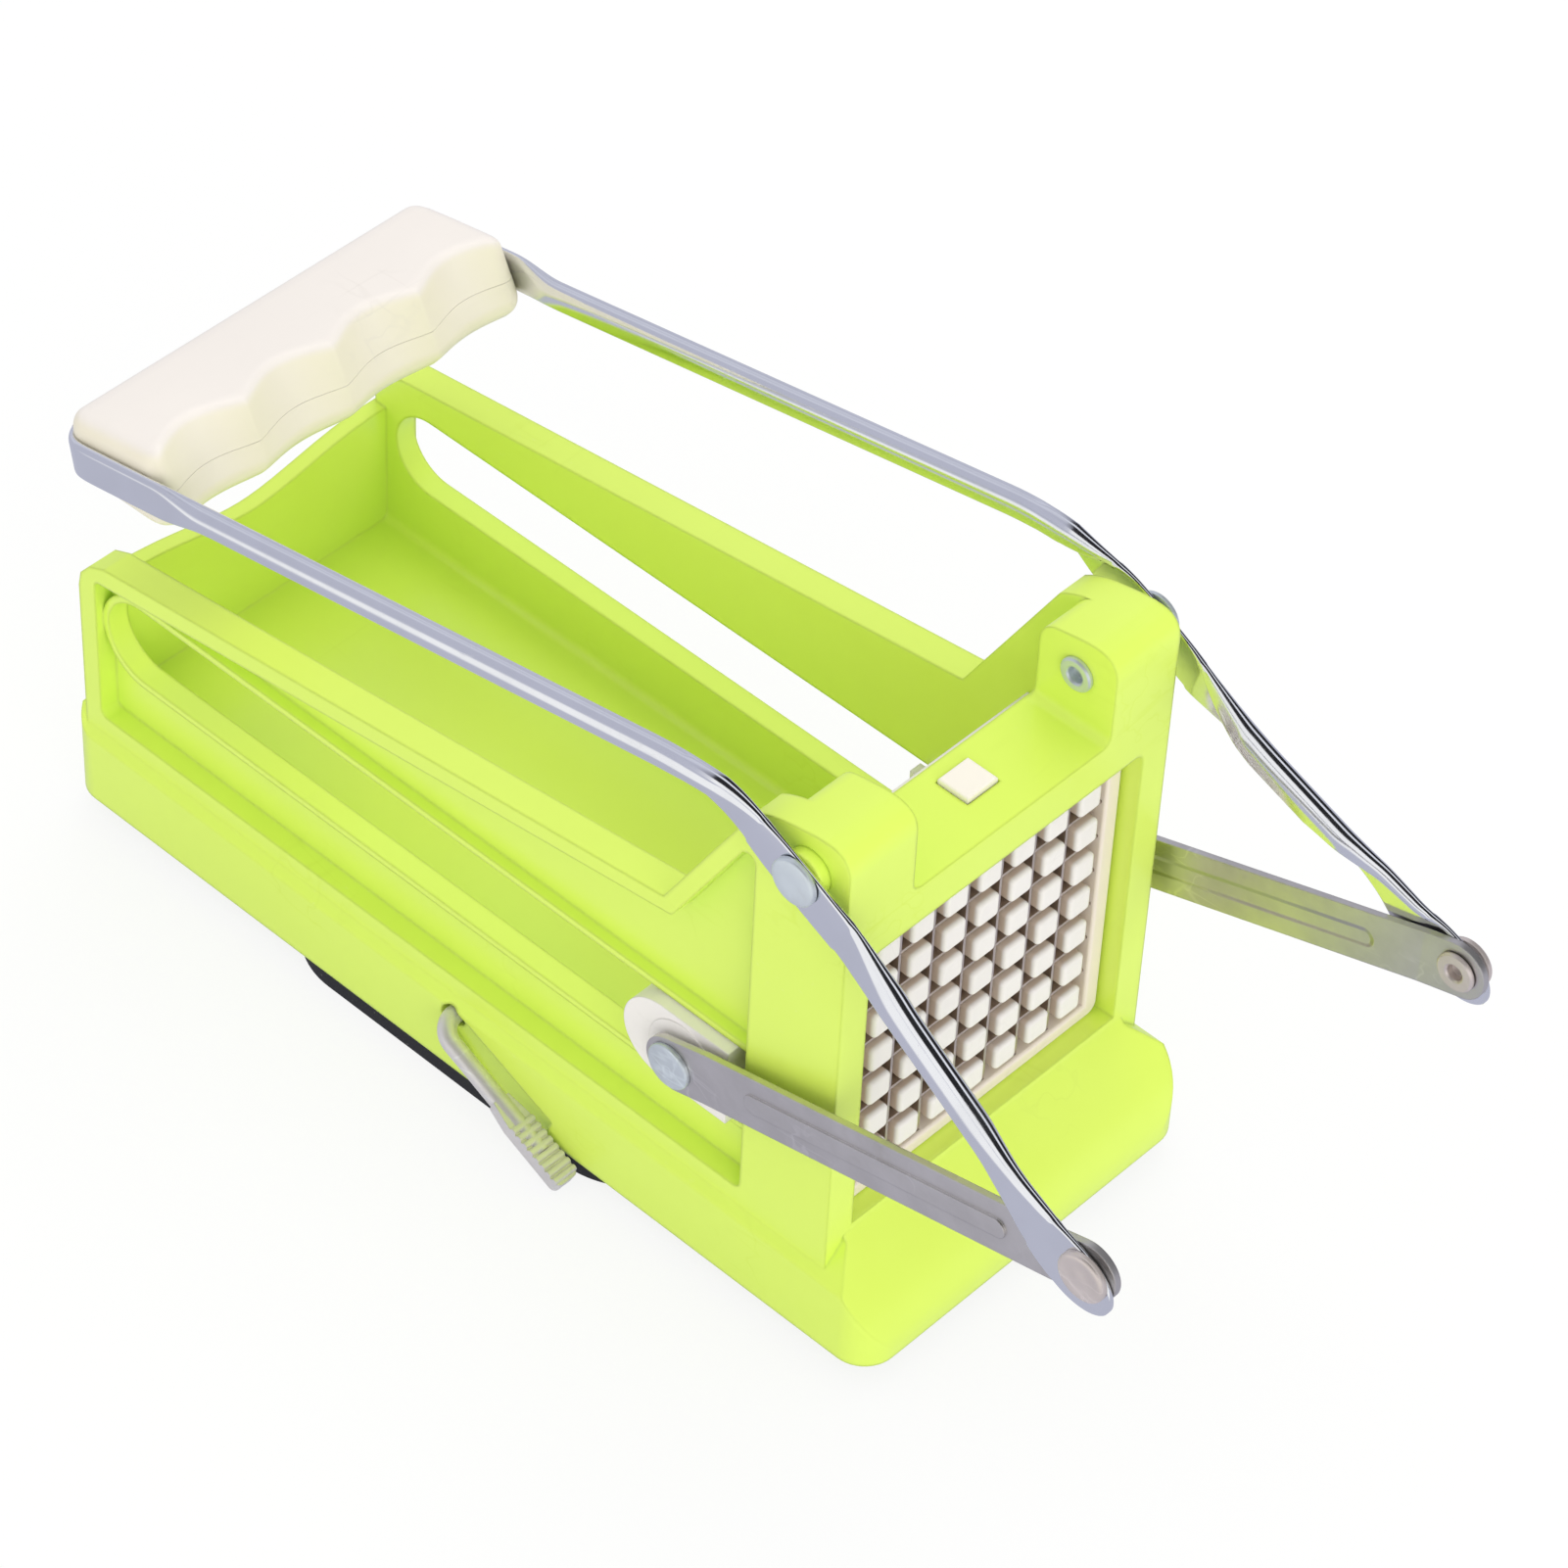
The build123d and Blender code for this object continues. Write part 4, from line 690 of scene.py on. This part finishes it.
class FRY_OT_grip(bpy.types.Operator):
    """Make both halves of the grip and finish its screws."""

    bl_idname = "fry.grip"
    bl_label = "Grip"

    def execute(self, context):
        colours, sizes = context.scene.cutter_colours, context.scene.cutter_sizes
        shade = tone(colours.cream, 0.95)
        # The grip's sideways faces take a painted shade
        cream = moulded_plastic("cream_moulding", colours.cream, shade, 0.3, 0.0, 1.2,
                                side_shade=colours.cream_side_shade)
        for name, outline, node in (("grip_top_shell", GRIP_TOP, "grip_upper"),
                                    ("grip_under_shell", GRIP_UNDER, "grip_lower")):
            shell = grip_half(name, outline, sizes, cream)
            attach(shell, "lever")
            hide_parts(node)
        dress(["grip_screws"], rolled_steel("screw_steel", colours.screw, 0.35))
        return {"FINISHED"}


class FRY_OT_links(bpy.types.Operator):
    """Finish the links and rivets."""

    bl_idname = "fry.links"
    bl_label = "Links and Rivets"

    def execute(self, context):
        colours = context.scene.cutter_colours
        rise = LINK_PIVOT[[0, 2]] - PUSHER_PIVOT
        length = float(np.hypot(*rise))
        groove_from, groove_share = 0.24, 0.56
        start = (PUSHER_PIVOT + rise * groove_from) * MM
        groove = (start.tolist(), (rise / length).tolist(), length * groove_share * MM)
        steel = rolled_steel("link_steel", colours.link, 0.3, 0.4 * MM, pressed=groove)
        dress(["near_link", "far_link"], steel)
        zinc = rolled_steel("rivet_zinc", colours.rivet, 0.3, 0.4 * MM, EVEN_GRAIN, 0.7)
        dress(["near_post_rivet", "far_post_rivet", "near_pusher_rivet", "far_pusher_rivet"], zinc)
        nickel = rolled_steel("rivet_nickel", colours.nickel, 0.26, 0.4 * MM, EVEN_GRAIN, 0.7)
        dress(["near_link_rivet", "far_link_rivet"], nickel)
        return {"FINISHED"}


class FRY_OT_suction(bpy.types.Operator):
    """Finish the suction pad, its lever and its clip."""

    bl_idname = "fry.suction"
    bl_label = "Suction Base"

    def execute(self, context):
        colours = context.scene.cutter_colours
        dress(["suction_pad"], black_rubber("pad_rubber", colours.rubber))
        steel = rolled_steel("thumb_steel", tone(colours.link, 1.25), 0.36, metallic=0.65)
        dress(["suction_lever", "suction_clip"], steel)
        return {"FINISHED"}


class FRY_OT_stage(bpy.types.Operator):
    """Set the floor, lamps, world and camera."""

    bl_idname = "fry.stage"
    bl_label = "Stage"

    def execute(self, context):
        build_floor()
        build_lamps()
        build_world(context.scene)
        build_camera(context.scene)
        return {"FINISHED"}


# ------------------------------------------------------------------ stage


def light_rays(paint):
    """Wires that are 1 for rays from the camera and 1 for rays from a glossy surface."""
    path = paint.tree.nodes.new("ShaderNodeLightPath")
    return Wire(paint, path.outputs["Is Camera Ray"]), Wire(paint, path.outputs["Is Glossy Ray"])


def build_floor():
    """A wide white floor with a faint shadow; mirrors see it grey, and white off the near side."""
    paint = Paint("floor_white", specular=0.0)
    paint.finish((0.93, 0.93, 0.93), 0.9)
    camera, mirror = light_rays(paint)
    along, across = paint.split()[:2]
    off_near_side = across.band(-0.165, -0.21) * along.band(-0.3, -0.2)
    seen = paint.mix(off_near_side, MIRROR_GREY, WHITE)
    lit = Wire(paint, paint.shader.outputs[0])
    surface = paint.blend(camera * 0.85, lit, paint.light(WHITE))
    surface = paint.blend(mirror, surface, paint.light(seen))
    paint.plug(paint.tree.nodes["Material Output"].inputs["Surface"], surface)

    half, height = 4.0, -0.2 * MM
    corners = [(-half, -half, height), (half, -half, height), (half, half, height),
               (-half, half, height)]
    mesh = bpy.data.meshes.new("floor")
    mesh.from_pydata(corners, [], [(0, 1, 2, 3)])
    mesh.materials.append(paint.material)
    card = bpy.data.objects.new("floor", mesh)
    bpy.context.scene.collection.objects.link(card)


def area_lamp(name, place, target, size, power):
    """A rectangular lamp that looks at the target and is not seen in mirrors."""
    lamp = bpy.data.lights.new(name, "AREA")
    lamp.shape, lamp.size, lamp.size_y, lamp.energy = "RECTANGLE", size[0], size[1], power
    holder = bpy.data.objects.new(name, lamp)
    holder.location = place
    aim = Vector(target) - Vector(place)
    holder.rotation_euler = aim.to_track_quat("-Z", "Y").to_euler()
    holder.visible_glossy = False
    bpy.context.scene.collection.objects.link(holder)


def build_lamps():
    """A large soft box above the far side, and another from the near front."""
    area_lamp("key_box", (-0.5, 0.9, 1.6), (0.0, 0.0, 0.06), (1.2, 1.2), 7.0)
    area_lamp("fill_box", (1.6, -0.9, 0.7), (0.05, 0.0, 0.06), (1.2, 1.0), 10.0)


class Sky(Paint):
    """World shader under construction; its place is the direction looked in."""

    light_node = "ShaderNodeBackground"

    def __init__(self, world):
        world.use_nodes = True
        self.tree = world.node_tree
        self.place = self.add("ShaderNodeTexCoord", output="Generated")


def build_world(scene):
    """Even white light all round, and a drawn pattern for mirrors.

    Towards the rear mirrors see grey with two paler stripes. Elsewhere they see white low down and
    black above, crossed by a pale band at the middle, then black and grey towards the far side.
    """
    world = bpy.data.worlds.new("studio")
    sky = Sky(world)
    along, across, height = sky.split()
    near_stripe = across.band(-0.55, -0.35) * across.band(0.4, 0.2)
    far_stripe = across.band(0.5, 0.58) * across.band(0.72, 0.64)
    behind = sky.mix((near_stripe + far_stripe) * 0.45, MIRROR_GREY, MIRROR_STRIPE)
    ahead = sky.mix(height.band(0.42, 0.34), MIRROR_BLACK, WHITE)
    ahead = sky.mix(across.band(-0.15, -0.05) * across.band(0.45, 0.35), ahead, MIRROR_PALE)
    ahead = sky.mix(across.band(0.35, 0.45), ahead, MIRROR_BLACK)
    ahead = sky.mix(across.band(0.93, 0.98), ahead, MIRROR_GREY)
    seen = sky.mix(along.band(-0.5, -0.35), behind, ahead)
    camera, mirror = light_rays(sky)
    surface = sky.blend(mirror, sky.light(WHITE, 0.9), sky.light(seen))
    surface = sky.blend(camera, surface, sky.light(WHITE))
    sky.plug(sky.tree.nodes["World Output"].inputs["Surface"], surface)
    scene.world = world
    scene.view_settings.view_transform = "Standard"


def build_camera(scene):
    """Long lens from the near front right, above."""
    lens = bpy.data.cameras.new("camera")
    lens.sensor_width, lens.lens = 36.0, 137.29
    lens.shift_x, lens.shift_y = -0.00943, 0.00157
    lens.clip_end = 20.0
    camera = bpy.data.objects.new("camera", lens)
    camera.location = (0.618346, -0.650924, 0.952656)
    camera.rotation_euler = Euler(np.radians([44.967, -2.340, 43.306]))
    scene.collection.objects.link(camera)
    scene.camera = camera


# ------------------------------------------------------------------ panel and registration


class FRY_PT_panel(bpy.types.Panel):
    """Lists the cutter's steps, sizes and colours."""

    bl_label = "Fry Cutter"
    bl_idname = "FRY_PT_panel"
    bl_space_type = "VIEW_3D"
    bl_region_type = "UI"
    bl_category = "Fry Cutter"

    def draw(self, context):
        for group in (context.scene.cutter_sizes, context.scene.cutter_colours):
            for name in group.__annotations__:
                self.layout.prop(group, name)
        for step in STEPS:
            self.layout.operator(step.bl_idname)


STEPS = (FRY_OT_housing, FRY_OT_cartridge, FRY_OT_pusher, FRY_OT_lever, FRY_OT_grip, FRY_OT_links,
         FRY_OT_suction, FRY_OT_stage)
CLASSES = (CutterSizes, CutterColours, *STEPS, FRY_PT_panel)


def register():
    for one in CLASSES:
        bpy.utils.register_class(one)
    bpy.types.Scene.cutter_sizes = bpy.props.PointerProperty(type=CutterSizes)
    bpy.types.Scene.cutter_colours = bpy.props.PointerProperty(type=CutterColours)


def unregister():
    del bpy.types.Scene.cutter_sizes
    del bpy.types.Scene.cutter_colours
    for one in reversed(CLASSES):
        bpy.utils.unregister_class(one)


def main():
    register()
    bpy.ops.fry.housing()
    bpy.ops.fry.cartridge()
    bpy.ops.fry.pusher()
    bpy.ops.fry.lever()
    bpy.ops.fry.grip()
    bpy.ops.fry.links()
    bpy.ops.fry.suction()
    bpy.ops.fry.stage()


if __name__ == "__main__":
    main()
